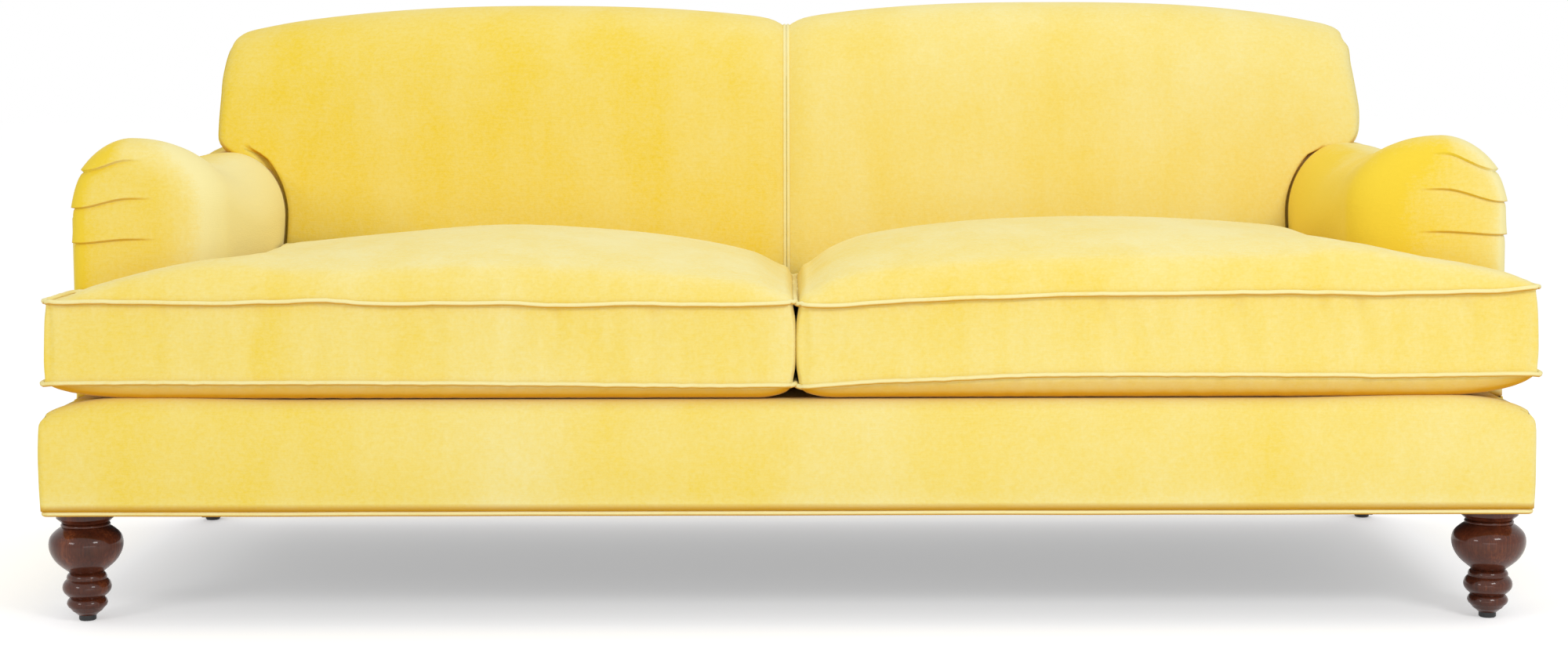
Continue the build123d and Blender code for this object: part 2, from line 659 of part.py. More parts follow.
def crown_deep(inset):
    """Side view of the cushion: the crown rises fast behind the front welt and eases to the back."""
    x = -CUSHION_OUTER - 10
    y0, y1 = FRONT + CUSHION_FRONT, FRONT + CUSHION_BACK
    low = DECK_TOP + CUSHION_CLEAR + inset - UNDER_CUT
    high = CROWN - inset
    top = Spline(
        (x, y0, BOXING_TOP - inset), (x, y0 + 110, high - 24), (x, y0 + 290, high), (x, y1, high - 38)
    )
    front = Line((x, y0, BOXING_TOP - inset), (x, y0, BOXING_BOTTOM + inset))
    back = Line((x, y1, high - 38), (x, y1, BOXING_BOTTOM + inset))
    turn_front = Spline((x, y0, BOXING_BOTTOM + inset), (x, y0 + 60, low), tangents=[(0, 1, -0.9), (0, 1, 0)])
    flat = Line((x, y0 + 60, low), (x, y1 - 60, low))
    turn_back = Spline((x, y1 - 60, low), (x, y1, BOXING_BOTTOM + inset), tangents=[(0, 1, 0), (0, 1, 0.9)])
    outline = make_face([top, front, back, turn_front, flat, turn_back])
    return extrude(outline, amount=CUSHION_OUTER + 20, dir=(1, 0, 0))


def cushion_form(inset):
    plan, height = cushion_plan(inset, DECK_TOP - 10, CROWN + 10)
    return extrude(plan, amount=height, dir=(0, 0, 1)) & crown_across(inset) & crown_deep(inset)


def cushion_welt(z):
    """Piped cord round the T-shaped plan at one edge of the boxing."""
    plan, _ = cushion_plan(0, z, z)
    path = plan.faces()[0].outer_wire()
    section = Plane(origin=path @ 0, z_dir=path % 0) * Circle(CUSHION_WELT)
    return sweep(section, path=path)


def cushion():
    """Foam core, padded cover and the two welts of the left seat cushion."""
    core = cushion_form(FIBRE_WRAP)
    welts = Compound([cushion_welt(BOXING_TOP), cushion_welt(BOXING_BOTTOM)])
    cover = cushion_form(0) - core
    for welt in welts.solids():
        cover -= welt
    return core, cover, welts


# ================================================================ assembly
def build_legs():
    save_pair("front_leg", front_leg())
    save_pair("rear_leg", rear_leg())
    save_pair("front_glide", Pos(-LEG_X, FRONT + LEG_DEPTH, 0) * glide(GLIDE_TOP, GLIDE_R))
    rear_foot = FRONT + REAR_LEG_DEPTH + REAR_LEG_RAKE
    save_pair("rear_glide", Pos(-LEG_X, rear_foot, 0) * glide(REAR_GLIDE_TOP, GLIDE_R))
    save("hanger_bolts", hanger_bolts())
    save("tee_nuts", tee_nuts())
    save("corner_blocks", corner_blocks())


def build_frame():
    save("front_rail", front_rail())
    save("back_rail", back_rail())
    save_pair("end_rail", end_rail())
    save("spring_rail", spring_rail())
    save("seat_stretchers", seat_stretchers())
    save_pair("arm_stump", arm_stump())
    save_pair("arm_rail", arm_rail())
    save_pair("arm_liner", arm_liner())
    save_pair("back_post", back_post(-POST_X))
    save("centre_back_post", back_post(-WIDE_BOARD / 2))
    save("back_top_rail", back_top_rail())
    save("back_liner_rail", back_liner_rail())


def build_suspension():
    save("seat_springs", seat_springs())
    save("spring_clips", spring_clips())
    save("back_straps", back_straps())
    save("deck_cloth", deck_cloth())
    save("deck_pad", deck_pad())


def build_upholstery():
    save("base_border", base_border())
    save("base_welt", base_welt())
    save("dust_cover", dust_cover())
    save_pair("outside_arm", outside_arm())
    arm = arm_body()
    arm_pad = arm - arm_frame_space()
    save_pair("arm_pad", arm_pad)
    back_pad = back_half_body() - arm - back_frame_space() - centre_welt()
    save_pair("back_pad", back_pad)
    save("centre_welt", centre_welt())
    save("outside_back", outside_back())


def build_cushions():
    core, cover, welts = cushion()
    save_pair("cushion_core", core)
    save_pair("cushion_cover", cover)
    save_pair("cushion_welts", welts)


os.makedirs("parts", exist_ok=True)
build_legs()
build_frame()
build_suspension()
build_upholstery()
build_cushions()
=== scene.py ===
# %% [markdown]
# # A two-seat velvet sofa
# The legs and boards of this sofa come ready made, as a fixed frame. What is built here is everything
# that a hand would touch: the stuffed seat cushions, the rolled arms with their pleats, the tight back in
# two arches, the padded base, and the finishes of cloth and wood. Each step says what the real thing is
# before it is made.

import json
import math

import bmesh
import bpy
from mathutils import Matrix, Vector, noise
from mathutils.geometry import interpolate_bezier


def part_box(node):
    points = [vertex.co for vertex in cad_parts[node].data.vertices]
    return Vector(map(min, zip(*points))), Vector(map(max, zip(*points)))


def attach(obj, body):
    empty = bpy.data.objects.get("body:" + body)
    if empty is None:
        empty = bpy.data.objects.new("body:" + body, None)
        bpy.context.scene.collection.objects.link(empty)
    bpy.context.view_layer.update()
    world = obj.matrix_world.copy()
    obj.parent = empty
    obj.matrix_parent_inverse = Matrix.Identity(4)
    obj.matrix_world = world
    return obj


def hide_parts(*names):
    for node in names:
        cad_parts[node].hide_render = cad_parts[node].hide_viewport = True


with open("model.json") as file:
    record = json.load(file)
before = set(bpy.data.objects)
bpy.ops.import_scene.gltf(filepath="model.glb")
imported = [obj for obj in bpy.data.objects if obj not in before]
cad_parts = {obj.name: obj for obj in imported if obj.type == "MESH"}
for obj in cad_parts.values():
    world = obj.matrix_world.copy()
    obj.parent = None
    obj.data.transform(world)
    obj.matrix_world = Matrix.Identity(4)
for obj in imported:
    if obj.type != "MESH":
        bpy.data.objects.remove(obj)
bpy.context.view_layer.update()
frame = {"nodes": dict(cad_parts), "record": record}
nodes = frame["nodes"]

# %% [markdown]
# ## Measures taken from the frame
# Depth is measured back from the front face of the base, as an upholsterer would, and "across" is the
# distance from the middle of the sofa. Sizes taken from the frame's own boxes keep every cover on its
# board.

# %% Read the sizes
border_low, border_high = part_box("base_border")
front = border_low.y
side = border_high.x
deck_top = border_high.z
welt_low, welt_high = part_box("base_welt")
base_bottom = welt_low.z
arm_low, arm_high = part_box("left_arm_pad")
back_low, back_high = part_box("left_back_pad")
seat_low, seat_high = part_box("left_cushion_cover")
panel_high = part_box("outside_back")[1]
pad_bottom = arm_low.z
rear_lean = (panel_high.y - welt_high.y) / (panel_high.z - base_bottom)


def rear_depth(z, inward=0.012):
    """Depth of the raked back panel's inner face at a height."""
    return welt_high.y - front + (z - base_bottom) * rear_lean - inward


def eased(share):
    """0 to 1 with a soft start and end."""
    share = min(max(share, 0.0), 1.0)
    return share * share * (3 - 2 * share)


def along(stops, at):
    """A smooth line through (place, value) stops, with the slope at each taken from its neighbours."""
    if at <= stops[0][0]:
        return stops[0][1]
    if at >= stops[-1][0]:
        return stops[-1][1]
    n = next(k for k in range(1, len(stops)) if at <= stops[k][0])
    (a, low), (b, high) = stops[n - 1], stops[n]
    span = b - a

    def slope(k):
        if k in (0, len(stops) - 1):
            return 0.0
        return (stops[k + 1][1] - stops[k - 1][1]) / (stops[k + 1][0] - stops[k - 1][0])

    t = (at - a) / span
    return ((2 * t**3 - 3 * t**2 + 1) * low + (t**3 - 2 * t**2 + t) * span * slope(n - 1)
            + (3 * t**2 - 2 * t**3) * high + (t**3 - t**2) * span * slope(n))


print(f"front {front:.4f}  side {side:.3f}  deck {deck_top:.3f}  seat {seat_low.z:.3f} to {seat_high.z:.3f}")

# %% [markdown]
# ## The camera
# A long lens from almost four metres keeps the arms and back in proportion. The camera looks down by a
# few degrees, and its lens is shifted a little, which keeps the uprights upright.

# %% Set the camera
STAND_OFF = 3.7139
EYE_HEIGHT = 0.8095
LOOK_DOWN = math.radians(4.5)
ROLL = math.radians(-0.13)
scene = bpy.context.scene
lens = bpy.data.cameras.new("camera")
lens.lens = 60.437
lens.sensor_width = 36.0
lens.shift_x = -0.00175
lens.shift_y = -0.0417
camera = bpy.data.objects.new("camera", lens)
camera.location = (0.0, front - STAND_OFF, EYE_HEIGHT)
tilt = Matrix.Rotation(math.pi / 2 - LOOK_DOWN, 3, "X")
camera.rotation_euler = (tilt @ Matrix.Rotation(ROLL, 3, "Z")).to_euler()
scene.collection.objects.link(camera)
scene.camera = camera
scene.view_settings.view_transform = "Standard"
print("camera", tuple(round(v, 3) for v in camera.location))

# %% [markdown]
# ## Maths on sockets
# A shader is easier to read as a formula than as a tangle of wires. `Value` wraps the output of a node,
# and its operators add Math nodes, so `0.3 + marks * 0.5` is two nodes. `Finish.node` adds every other
# kind.

# %% A small language for finishes
class Value:
    """The output of a node, which Python's arithmetic joins with Math nodes."""

    def __init__(self, finish, socket):
        self.finish = finish
        self.socket = socket

    def maths(self, operation, first, second):
        return self.finish.node("ShaderNodeMath", {"operation": operation}, {0: first, 1: second})

    def __add__(self, other):
        return self.maths("ADD", self, other)

    __radd__ = __add__

    def __mul__(self, other):
        return self.maths("MULTIPLY", self, other)

    __rmul__ = __mul__

    def __sub__(self, other):
        return self.maths("SUBTRACT", self, other)

    def __rsub__(self, other):
        return self.maths("SUBTRACT", other, self)


class Finish:
    """A material, or a world. node() takes a type, its settings, then the values or links of its sockets."""

    def __init__(self, name, kind="Material"):
        self.kind = kind
        self.owner = getattr(bpy.data, kind.lower() + "s").new(name)
        self.owner.use_nodes = True
        self.tree = self.owner.node_tree
        self.tree.nodes.clear()

    def node(self, kind, settings=None, inputs=None, output=0):
        made = self.tree.nodes.new(kind)
        for name, setting in (settings or {}).items():
            if name == "stops":
                ramp = made.color_ramp.elements
                while len(ramp) < len(setting):
                    ramp.new(0.5)
                for element, (position, colour) in zip(ramp, setting):
                    element.position = position
                    element.color = colour
            else:
                setattr(made, name, setting)
        for name, value in (inputs or {}).items():
            if isinstance(value, Value):
                self.tree.links.new(value.socket, made.inputs[name])
            else:
                made.inputs[name].default_value = value
        return Value(self, made.outputs[output])

    def show(self, surface):
        end = self.tree.nodes.new("ShaderNodeOutput" + self.kind)
        self.tree.links.new(surface.socket, end.inputs["Surface"])
        return self.owner

    def noise(self, scale, stretch=(1, 1, 1), detail=2.0, roughness=0.5):
        """Soft noise about 0, from -1 to 1 at most, in the object's own coordinates."""
        place = self.node("ShaderNodeTexCoord", output="Object")
        place = self.node("ShaderNodeMapping", {}, {"Vector": place, "Scale": stretch})
        grain = self.node("ShaderNodeTexNoise", {}, {
            "Vector": place, "Scale": scale, "Detail": detail, "Roughness": roughness,
        })
        return (grain - 0.5) * 2

    def mix(self, share, first, second):
        """One colour laid over another by a share."""
        settings = {"data_type": "RGBA", "clamp_factor": True}
        return self.node("ShaderNodeMix", settings, {"Factor": share, 6: first, 7: second}, output=2)

    def seen(self):
        """1 for what the camera sees, straight, in a mirror or through glass."""
        rays = [self.node("ShaderNodeLightPath", output=f"Is {kind} Ray")
                for kind in ("Camera", "Glossy", "Transmission")]
        return rays[0].maths("MAXIMUM", rays[0], rays[1].maths("MAXIMUM", rays[1], rays[2]))


print("finish language ready")

# %% [markdown]
# ## Velvet
# Velvet is a short pile, and it changes colour with the lie of that pile: stroked one way it is a deep
# yellow, the other way almost cream. So the cloth here is two yellows, with a third, browner one where it
# faces the ground, which is painted shade. A slow noise lays the hand marks, a finer one the brushed streaks,
# and the way that a surface faces tips it to the pale or to the deep side: sides turned to the right and
# tops are painted paler, as painted light from the right and from above, and the right-facing part stands
# partly for the lie of the pile. The sheen does the rest at the edges, as the tips of the pile catch the
# light.

# %% Finish: velvet
DEEP_YELLOW = (0.90, 0.655, 0.050, 1)
PALE_YELLOW = (0.93, 0.83, 0.40, 1)
# SHADE_YELLOW is painted shade: the browner yellow laid on faces that turn to the ground.
SHADE_YELLOW = (0.70, 0.345, 0.010, 1)


def velvet(name, pale, right_light_and_pile=0.3, rise=0.2, streak=(9, 9, 1.6), hem=None, sheen=0.28):
    """Cotton velvet. pale is how far the pile lies to the cream side. Facing right adds lean, facing up adds
    rise: both are painted light, paler on sides turned to the right and on tops, the right-facing part
    standing partly for the lie of the pile. Facing the ground turns it to a browner painted shade, and below
    the height of a hem it is paler."""
    cloth = Finish(name)
    facing = cloth.node("ShaderNodeNewGeometry", output="Normal")
    across = cloth.node("ShaderNodeSeparateXYZ", {}, {"Vector": facing}, output="X")
    upward = cloth.node("ShaderNodeSeparateXYZ", {}, {"Vector": facing}, output="Z")
    # up: how far a face turns to the sky, the mask of the painted light on tops.
    up = upward.maths("POWER", upward.maths("MAXIMUM", upward, 0.0), 4.0)
    # down: how far a face turns to the ground, the mask of the painted shade on undersides.
    down = upward.maths("MAXIMUM", upward * -1.6 - 0.1, 0.0)
    marks = cloth.noise(3.1, detail=4.0, roughness=0.62)
    strokes = cloth.noise(1.0, stretch=streak, detail=4.0, roughness=0.62)
    nap = cloth.noise(170.0, detail=3.0, roughness=0.7)
    threads = cloth.noise(1.0, stretch=(70, 70, 800), detail=1.0)
    # Painted light: faces turned to the right are paler, as if lit from the right and partly for the lie of
    # the pile, and faces turned up are paler, as if lit from above. The noises below add the cloth's own tone
    # at random.
    tone_and_painted_light = pale + across.maths("MAXIMUM", across + 0.12, -0.1) * right_light_and_pile + up * rise
    tone_and_painted_light = tone_and_painted_light + marks * 0.44 + strokes * 0.36 + nap * 0.30 + threads * 0.12
    if hem:
        place = cloth.node("ShaderNodeTexCoord", output="Object")
        height = cloth.node("ShaderNodeSeparateXYZ", {}, {"Vector": place}, output="Z")
        low = (hem - height + strokes * 0.02) * 28.0
        tone_and_painted_light = tone_and_painted_light + low.maths("MINIMUM", low.maths("MAXIMUM", low, 0.0), 1.0) * 0.26
    colour = cloth.mix(tone_and_painted_light, DEEP_YELLOW, PALE_YELLOW)
    # Painted shade: faces turned to the ground are mixed towards the browner shade yellow.
    colour = cloth.mix(down, colour, SHADE_YELLOW)
    pile = cloth.noise(1100.0, detail=1.0)
    bump = cloth.node("ShaderNodeBump", {}, {
        "Height": pile * 0.5 + threads + nap * 1.5 + strokes, "Strength": 0.22, "Distance": 0.0006,
    })
    surface = cloth.node("ShaderNodeBsdfPrincipled", {}, {
        "Base Color": colour, "Roughness": 0.85, "Normal": bump, "Specular IOR Level": 0.12,
        "Sheen Weight": sheen, "Sheen Roughness": 0.32, "Sheen Tint": (1.0, 0.93, 0.66, 1),
    })
    return cloth.show(surface)


# The two halves are copies of one velvet, the right one paler: painted light, standing for the sheen of the
# pile as it is seen and lit on that side of the seam.
VELVET_BACK_LEFT = velvet("velvet_back_left", pale=0.24)
VELVET_BACK_RIGHT = velvet("velvet_back_right", pale=0.50)
# Painted light: the arms are a deep yellow whose sides turned to the right are painted pale, as if lit from
# the right, and partly for the lie of the pile.
VELVET_ARM = velvet("velvet_arm", pale=0.08, right_light_and_pile=1.6, rise=0.3)
# Painted light: the cushions' tops, turned up, are painted paler, most on the crowns.
VELVET_SEAT = velvet("velvet_seat", pale=0.38, rise=0.42, streak=(14, 14, 2.2), hem=0.368)
VELVET_BASE = velvet("velvet_base", pale=0.36, streak=(6, 6, 2.5), hem=0.195)
# Painted light: the piping is painted much paler than the cloth it is cut from, against the shade on its thin
# round.
VELVET_PIPING = velvet("velvet_piping", pale=0.95, streak=(40, 40, 40), sheen=0.5)
print("velvets:", [m.name for m in bpy.data.materials if m.name.startswith("velvet")])

# %% [markdown]
# ## Wood, nylon and what is hidden
# The legs are a dark walnut under gloss lacquer: the grain runs down the leg, so the noise is stretched
# along Z, and the lacquer is a clear coat. The boards inside are plain sawn beech, the straps jute, and
# the base is closed from below with a thin black cloth.

# %% Finish: lacquered walnut
def walnut():
    """Dark walnut with fine pores, under lacquer."""
    wood = Finish("lacquered_walnut")
    figure = wood.noise(1.0, stretch=(22, 22, 3.0), detail=4.0, roughness=0.6)
    pores = wood.noise(1.0, stretch=(420, 420, 26), detail=2.0)
    share = 0.42 + figure * 0.55 + pores * 0.28
    colour = wood.node("ShaderNodeValToRGB", {"stops": [
        (0.0, (0.018, 0.004, 0.002, 1)), (0.5, (0.092, 0.020, 0.007, 1)), (1.0, (0.34, 0.092, 0.027, 1)),
    ]}, {"Fac": share})
    bump = wood.node("ShaderNodeBump", {}, {"Height": pores, "Strength": 0.08, "Distance": 0.0003})
    surface = wood.node("ShaderNodeBsdfPrincipled", {}, {
        "Base Color": colour, "Roughness": 0.40 + figure * 0.05, "Normal": bump, "Specular IOR Level": 0.12,
        "Coat Weight": 0.60, "Coat Roughness": 0.08,
    })
    return wood.show(surface)


def plain(name, dark, light, scale, stretch=(1, 1, 1), roughness=0.8, metallic=0.0):
    """Two tones of one stuff with its grain, for boards, straps, wire and cloth that are tucked away."""
    stuff = Finish(name)
    grain = stuff.noise(scale, stretch=stretch, detail=3.0, roughness=0.6)
    colour = stuff.mix(0.5 + grain * 0.6, (*dark, 1), (*light, 1))
    bump = stuff.node("ShaderNodeBump", {}, {"Height": grain, "Strength": 0.3, "Distance": 0.0004})
    surface = stuff.node("ShaderNodeBsdfPrincipled", {}, {
        "Base Color": colour, "Roughness": roughness + grain * 0.06, "Metallic": metallic, "Normal": bump,
    })
    return stuff.show(surface)


FINISHES = {
    "turned_wood": walnut(),
    "glide_nylon": plain("glide_nylon", (0.010, 0.010, 0.011), (0.022, 0.022, 0.023), 300, roughness=0.45),
    "zinc_steel": plain("zinc_steel", (0.5, 0.5, 0.49), (0.68, 0.67, 0.63), 90, roughness=0.35, metallic=1),
    "spring_steel": plain("spring_steel", (0.1, 0.1, 0.1), (0.3, 0.3, 0.31), 60, roughness=0.4, metallic=1),
    "frame_wood": plain("sawn_beech", (0.43, 0.27, 0.14), (0.62, 0.44, 0.26), 1, (7, 60, 60)),
    "jute": plain("jute_webbing", (0.28, 0.18, 0.09), (0.5, 0.36, 0.2), 1, (500, 500, 500)),
    "lining": plain("black_lining", (0.012, 0.012, 0.013), (0.03, 0.03, 0.032), 1, (700, 700, 700)),
    "foam": plain("seat_foam", (0.66, 0.6, 0.47), (0.8, 0.75, 0.62), 400),
    "velvet": VELVET_BASE,
    "velvet_piping": VELVET_PIPING,
}
for row in frame["record"]["subparts"]:
    node = nodes[row["node"]]
    node.data.materials.clear()
    node.data.materials.append(FINISHES[row["material_slot"]])
print("finishes:", sorted(FINISHES))

# %% [markdown]
# ## Pieces
# Every cover is made in bmesh, where it stands, and becomes an object at the origin that rides on a body
# of the frame. `lofted` is the upholsterer's way of working: a ring of cloth is pulled along, one ring to
# the next, by extruding its edges and setting each new ring to the next outline.

# %% Helpers for pieces
def piece(name, bm, body, finish, replaced):
    """A bmesh as an object in place, with its finish, riding on a body of the frame."""
    bmesh.ops.recalc_face_normals(bm, faces=bm.faces)
    for face in bm.faces:
        face.smooth = True
    mesh = bpy.data.meshes.new(name)
    bm.to_mesh(mesh)
    bm.free()
    made = bpy.data.objects.new(name, mesh)
    scene.collection.objects.link(made)
    mesh.materials.append(finish)
    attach(made, body)
    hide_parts(replaced)
    print(f"{name}: {len(mesh.polygons)} faces")
    return made


def ring(bm, outline, closed=True):
    """The first ring: its points joined by edges."""
    points = [bm.verts.new(point) for point in outline]
    pairs = list(zip(points, points[1:] + points[:1])) if closed else list(zip(points, points[1:]))
    return points, [bm.edges.new(pair) for pair in pairs]


def pull(bm, edges, outline, points):
    """Extrudes a ring of edges and sets its new points to the next outline, in the ring's own order."""
    order = {point: number for number, point in enumerate(points)}
    pulled = bmesh.ops.extrude_edge_only(bm, edges=edges)["geom"]
    new_edges = [item for item in pulled if isinstance(item, bmesh.types.BMEdge)]
    new_points = [None] * len(points)
    for point in (item for item in pulled if isinstance(item, bmesh.types.BMVert)):
        old = next(edge.other_vert(point) for edge in point.link_edges if edge.other_vert(point) in order)
        new_points[order[old]] = point
    for point, place in zip(new_points, outline):
        point.co = place
    return new_points, new_edges


def lofted(bm, outlines, closed=True):
    """Pulls a ring through a row of outlines. Returns every ring's points, for the caps and the seams."""
    points, edges = ring(bm, outlines[0], closed)
    rings = [points]
    for outline in outlines[1:]:
        points, edges = pull(bm, edges, outline, points)
        rings.append(points)
    return rings


print("helpers ready")

# %% [markdown]
# ## The padded base
# The border of the base is a strip of velvet over thin padding. It rolls over the top of the rails, and
# falls away in a long curve at both ends of the front. A ring of cloth is pulled round the front in a U,
# from one arm to the other, and the height of its top comes from where it is: low at the ends, full
# behind the rolled edge.

# %% Base border
BORDER_RIM = 0.022
BORDER_BACK = 0.047
END_FALL = 0.035
END_REACH = 0.126
CORNER = 0.009
WRAP = 0.012
LOWER_HEM = 0.0035
border_bottom = border_low.z - LOWER_HEM


def border_top(across, depth):
    """Height of the border's top: the front edge rolls over, and both ends fall away."""
    end = min(max((across - side + END_REACH) / END_REACH, 0), 1)
    fall = END_FALL * (1 - math.sqrt(1 - end * end))
    rim = max(BORDER_RIM - depth, 0)
    roll = BORDER_RIM - math.sqrt(BORDER_RIM**2 - rim**2)
    swell = 0.004 * eased((across - 0.70) / 0.2) * eased(depth / 0.012) * eased((0.05 - depth) / 0.02)
    return deck_top + swell - fall - roll


def border_ring(x, depth, inward):
    """The section of the border at one place: up the face, over the rim, down behind, and closed."""
    across = abs(x)
    sign = 1 if x > 0 else -1
    points = []
    foot = border_top(across, depth)
    for step in range(12):
        share = step / 12
        full = 0.0022 * math.sin(math.pi * share) + 0.0012 * noise.noise(Vector((x * 6, share * 2, 3.0)))
        place = Vector((x, front + depth, border_bottom + (foot - border_bottom) * share))
        points.append(place - inward * full)
    for step in range(8):
        reach = BORDER_RIM * (1 - math.cos(math.pi / 2 * step / 7))
        place = Vector((x, front + depth, 0)) + inward * reach
        place.z = border_top(abs(place.x), place.y - front)
        points.append(place)
    for reach, height in ((0.034, None), (BORDER_BACK, None), (BORDER_BACK, pad_bottom), (WRAP, pad_bottom)):
        px = sign * min(across, side - reach)
        py = max(depth, reach)
        points.append(Vector((px, front + py, height or border_top(abs(px), py))))
    points.append(Vector((sign * min(across, side - WRAP), front + max(depth, WRAP), border_bottom)))
    return points


def border_stations():
    """Places round the front with the direction inward, from the left arm to the right arm."""
    end = arm_low.y - front
    turn = [math.pi / 2 * step / 8 for step in range(9)]
    left = [(-side, end + (CORNER - end) * step / 6, Vector((1, 0, 0))) for step in range(6)]
    for cos, sin in ((math.cos(angle), math.sin(angle)) for angle in turn):
        left.append((-side + CORNER - CORNER * cos, CORNER - CORNER * sin, Vector((cos, sin, 0))))
    half = side - CORNER
    middle = [(half * math.sin(math.pi / 2 * step / 40), 0.0, Vector((0, 1, 0))) for step in range(-39, 40)]
    right = [(-x, depth, Vector((-inward.x, inward.y, 0))) for x, depth, inward in reversed(left)]
    return left + middle + right


bm = bmesh.new()
rings = lofted(bm, [border_ring(*station) for station in border_stations()])
bm.faces.new(rings[0])
bm.faces.new(rings[-1])
bmesh.ops.remove_doubles(bm, verts=bm.verts, dist=0.00005)
base_border = piece("base_border_cover", bm, "frame", VELVET_BASE, "base_border")

# %% [markdown]
# ## Piping
# Piping is a cord in a folded strip of the same velvet, its colour painted paler, as painted light against
# the shade on so thin a round. A curve with a round bevel is the natural tool: it follows the seam, and its
# mesh is then kept as the piece. It is never quite straight, because it is sewn by hand, so a slow noise
# moves it by a millimetre or so.

# %% Helper for piping, and the piping of the base
SPACING = 0.012


def cord_mesh(points, radius, closed=True):
    """A round tube along points, as a bmesh."""
    curve = bpy.data.curves.new("cord", "CURVE")
    curve.dimensions = "3D"
    curve.bevel_depth = radius
    curve.bevel_resolution = 3
    curve.use_fill_caps = True
    spline = curve.splines.new("POLY")
    spline.points.add(len(points) - 1)
    for knot, point in zip(spline.points, points):
        knot.co = (*point, 1)
    spline.use_cyclic_u = closed
    holder = bpy.data.objects.new("cord", curve)
    mesh = bpy.data.meshes.new_from_object(holder)
    bm = bmesh.new()
    bm.from_mesh(mesh)
    bmesh.ops.remove_doubles(bm, verts=bm.verts, dist=0.00001)
    bpy.data.objects.remove(holder)
    bpy.data.curves.remove(curve)
    bpy.data.meshes.remove(mesh)
    return bm


def joined(bm, other):
    """Puts a second mesh into the first one."""
    mesh = bpy.data.meshes.new("second")
    other.to_mesh(mesh)
    other.free()
    bm.from_mesh(mesh)
    bpy.data.meshes.remove(mesh)
    return bm


def round_corner_loop(x, y0, y1, radius, z):
    """A rectangle with rounded corners, as evenly spaced points."""
    corners = [(x - radius, y1 - radius, 0), (-x + radius, y1 - radius, 1),
               (-x + radius, y0 + radius, 2), (x - radius, y0 + radius, 3)]
    outline = []
    for cx, cy, quarter in corners:
        for turn in range(9):
            angle = math.pi / 2 * (quarter + turn / 8)
            outline.append(Vector((cx + radius * math.cos(angle), cy + radius * math.sin(angle), z)))
    points = []
    for start, end in zip(outline, outline[1:] + outline[:1]):
        parts = max(1, round((end - start).length / SPACING))
        points += [start.lerp(end, part / parts) for part in range(parts)]
    return points


welt_r = (welt_high.z - welt_low.z) / 2
hem = welt_low.z + welt_r - LOWER_HEM
loop = round_corner_loop(welt_high.x - welt_r, welt_low.y + welt_r, welt_high.y - welt_r, CORNER, hem)
loop = [p + Vector((0, 0, 0.0008 * noise.noise(p * 5))) for p in loop]
cord = cord_mesh(loop, welt_r * 0.96)
piece("base_piping", cord, "frame", VELVET_PIPING, "base_welt")

# %% [markdown]
# ## The shape of an arm
# An English arm is low and rolls outward. Its shape is written down first, because the back is tucked in
# round it: a height of 0 to 1 runs up the straight side, 1 to 2 over the roll, and the depth runs from
# front to back.

# %% Arm shape
ARM_NOSE = 0.060
ROLL_DROP = 0.106
arm_front = arm_low.y - front
arm_outer = -arm_low.x
arm_peak = arm_high.z
CROWN_LINE = [
    (0.225, 0.0), (0.34, -0.0245), (0.45, -0.043), (0.60, -0.033), (0.78, -0.025), (1.2, -0.025),
]
PEAK_LINE = [(0.225, 0.978), (0.45, 0.940), (0.62, 0.915), (1.2, 0.915)]
BULGE_LINE = [(0.225, 0.836), (0.45, 0.827), (0.60, 0.824), (1.2, 0.824)]
ARM_FOOT = 0.850


def arm_level(height, depth):
    """height runs 0 to 1 up the straight side and 1 to 2 over the roll: returns z and the roll's angle."""
    spring = arm_peak + along(CROWN_LINE, depth) - ROLL_DROP
    if height <= 1:
        return pad_bottom + (spring - pad_bottom) * height, 0.0
    angle = (height - 1) * math.pi / 2
    return spring + ROLL_DROP * math.sin(angle), angle


def arm_side(height, depth, inner, reach=0.0):
    """(across, depth, z) of the outer or inner side. reach sets the outer side further out."""
    z, angle = arm_level(height, depth)
    peak = along(PEAK_LINE, depth)
    if not inner:
        out = arm_outer + reach * eased((0.6 - depth) / 0.35)
        return peak + (out - peak) * math.cos(angle), depth, z
    bulge = along(BULGE_LINE, depth)
    if height < 1:
        bulge += (ARM_FOOT - bulge) * eased(1 - height)
    return peak - (peak - bulge) * math.cos(angle), depth, z


def arm_nose(height, across_share, reach=0.0):
    """(across, depth, z) on the rounded front. across_share runs from -1, outside, to 1, inside."""
    start = arm_front + ARM_NOSE
    z, angle = arm_level(height, start)
    peak = along(PEAK_LINE, start)
    edge = arm_side(min(height, 1), start, across_share > 0, reach)[0]
    across = peak + (edge - peak) * math.cos(angle) * abs(across_share)
    inside = eased((across_share + 0.6) / 1.2)
    top = math.sin(angle) ** 2
    square = (10 - 5.5 * inside) * (1 - top) + 5 * top
    flat = (4 - 1.9 * inside) * (1 - top) + 2.1 * top
    rim = min(math.hypot(math.cos(angle) * across_share, math.sin(angle)), 1.0)
    return across, start - ARM_NOSE * (1 - rim**square) ** (1 / flat), z


def arm_outline(z, depth):
    """Across of the arm's inner side at a height, up to its ridge."""
    spring = arm_peak + along(CROWN_LINE, depth) - ROLL_DROP
    if z <= spring:
        return arm_side((z - pad_bottom) / (spring - pad_bottom), depth, True)[0]
    peak = along(PEAK_LINE, depth)
    return peak - (peak - along(BULGE_LINE, depth)) * math.sqrt(max(1 - ((z - spring) / ROLL_DROP) ** 2, 0))


print("arm front", round(arm_front, 3), "outer", round(arm_outer, 3), "peak", round(arm_peak, 3))

# %% [markdown]
# ## The tight back
# The back is two stuffed panels that meet in a valley at the middle, each with its own arch along the
# top. The outline from front to back is a gentle lumbar swell, a tight roll over the top rail and a raked
# flat behind. Rings of that outline are pulled across, drawn in at the outer end and into the middle
# seam. Beside an arm the stations lean to follow its outline, and the cloth is tucked in there.

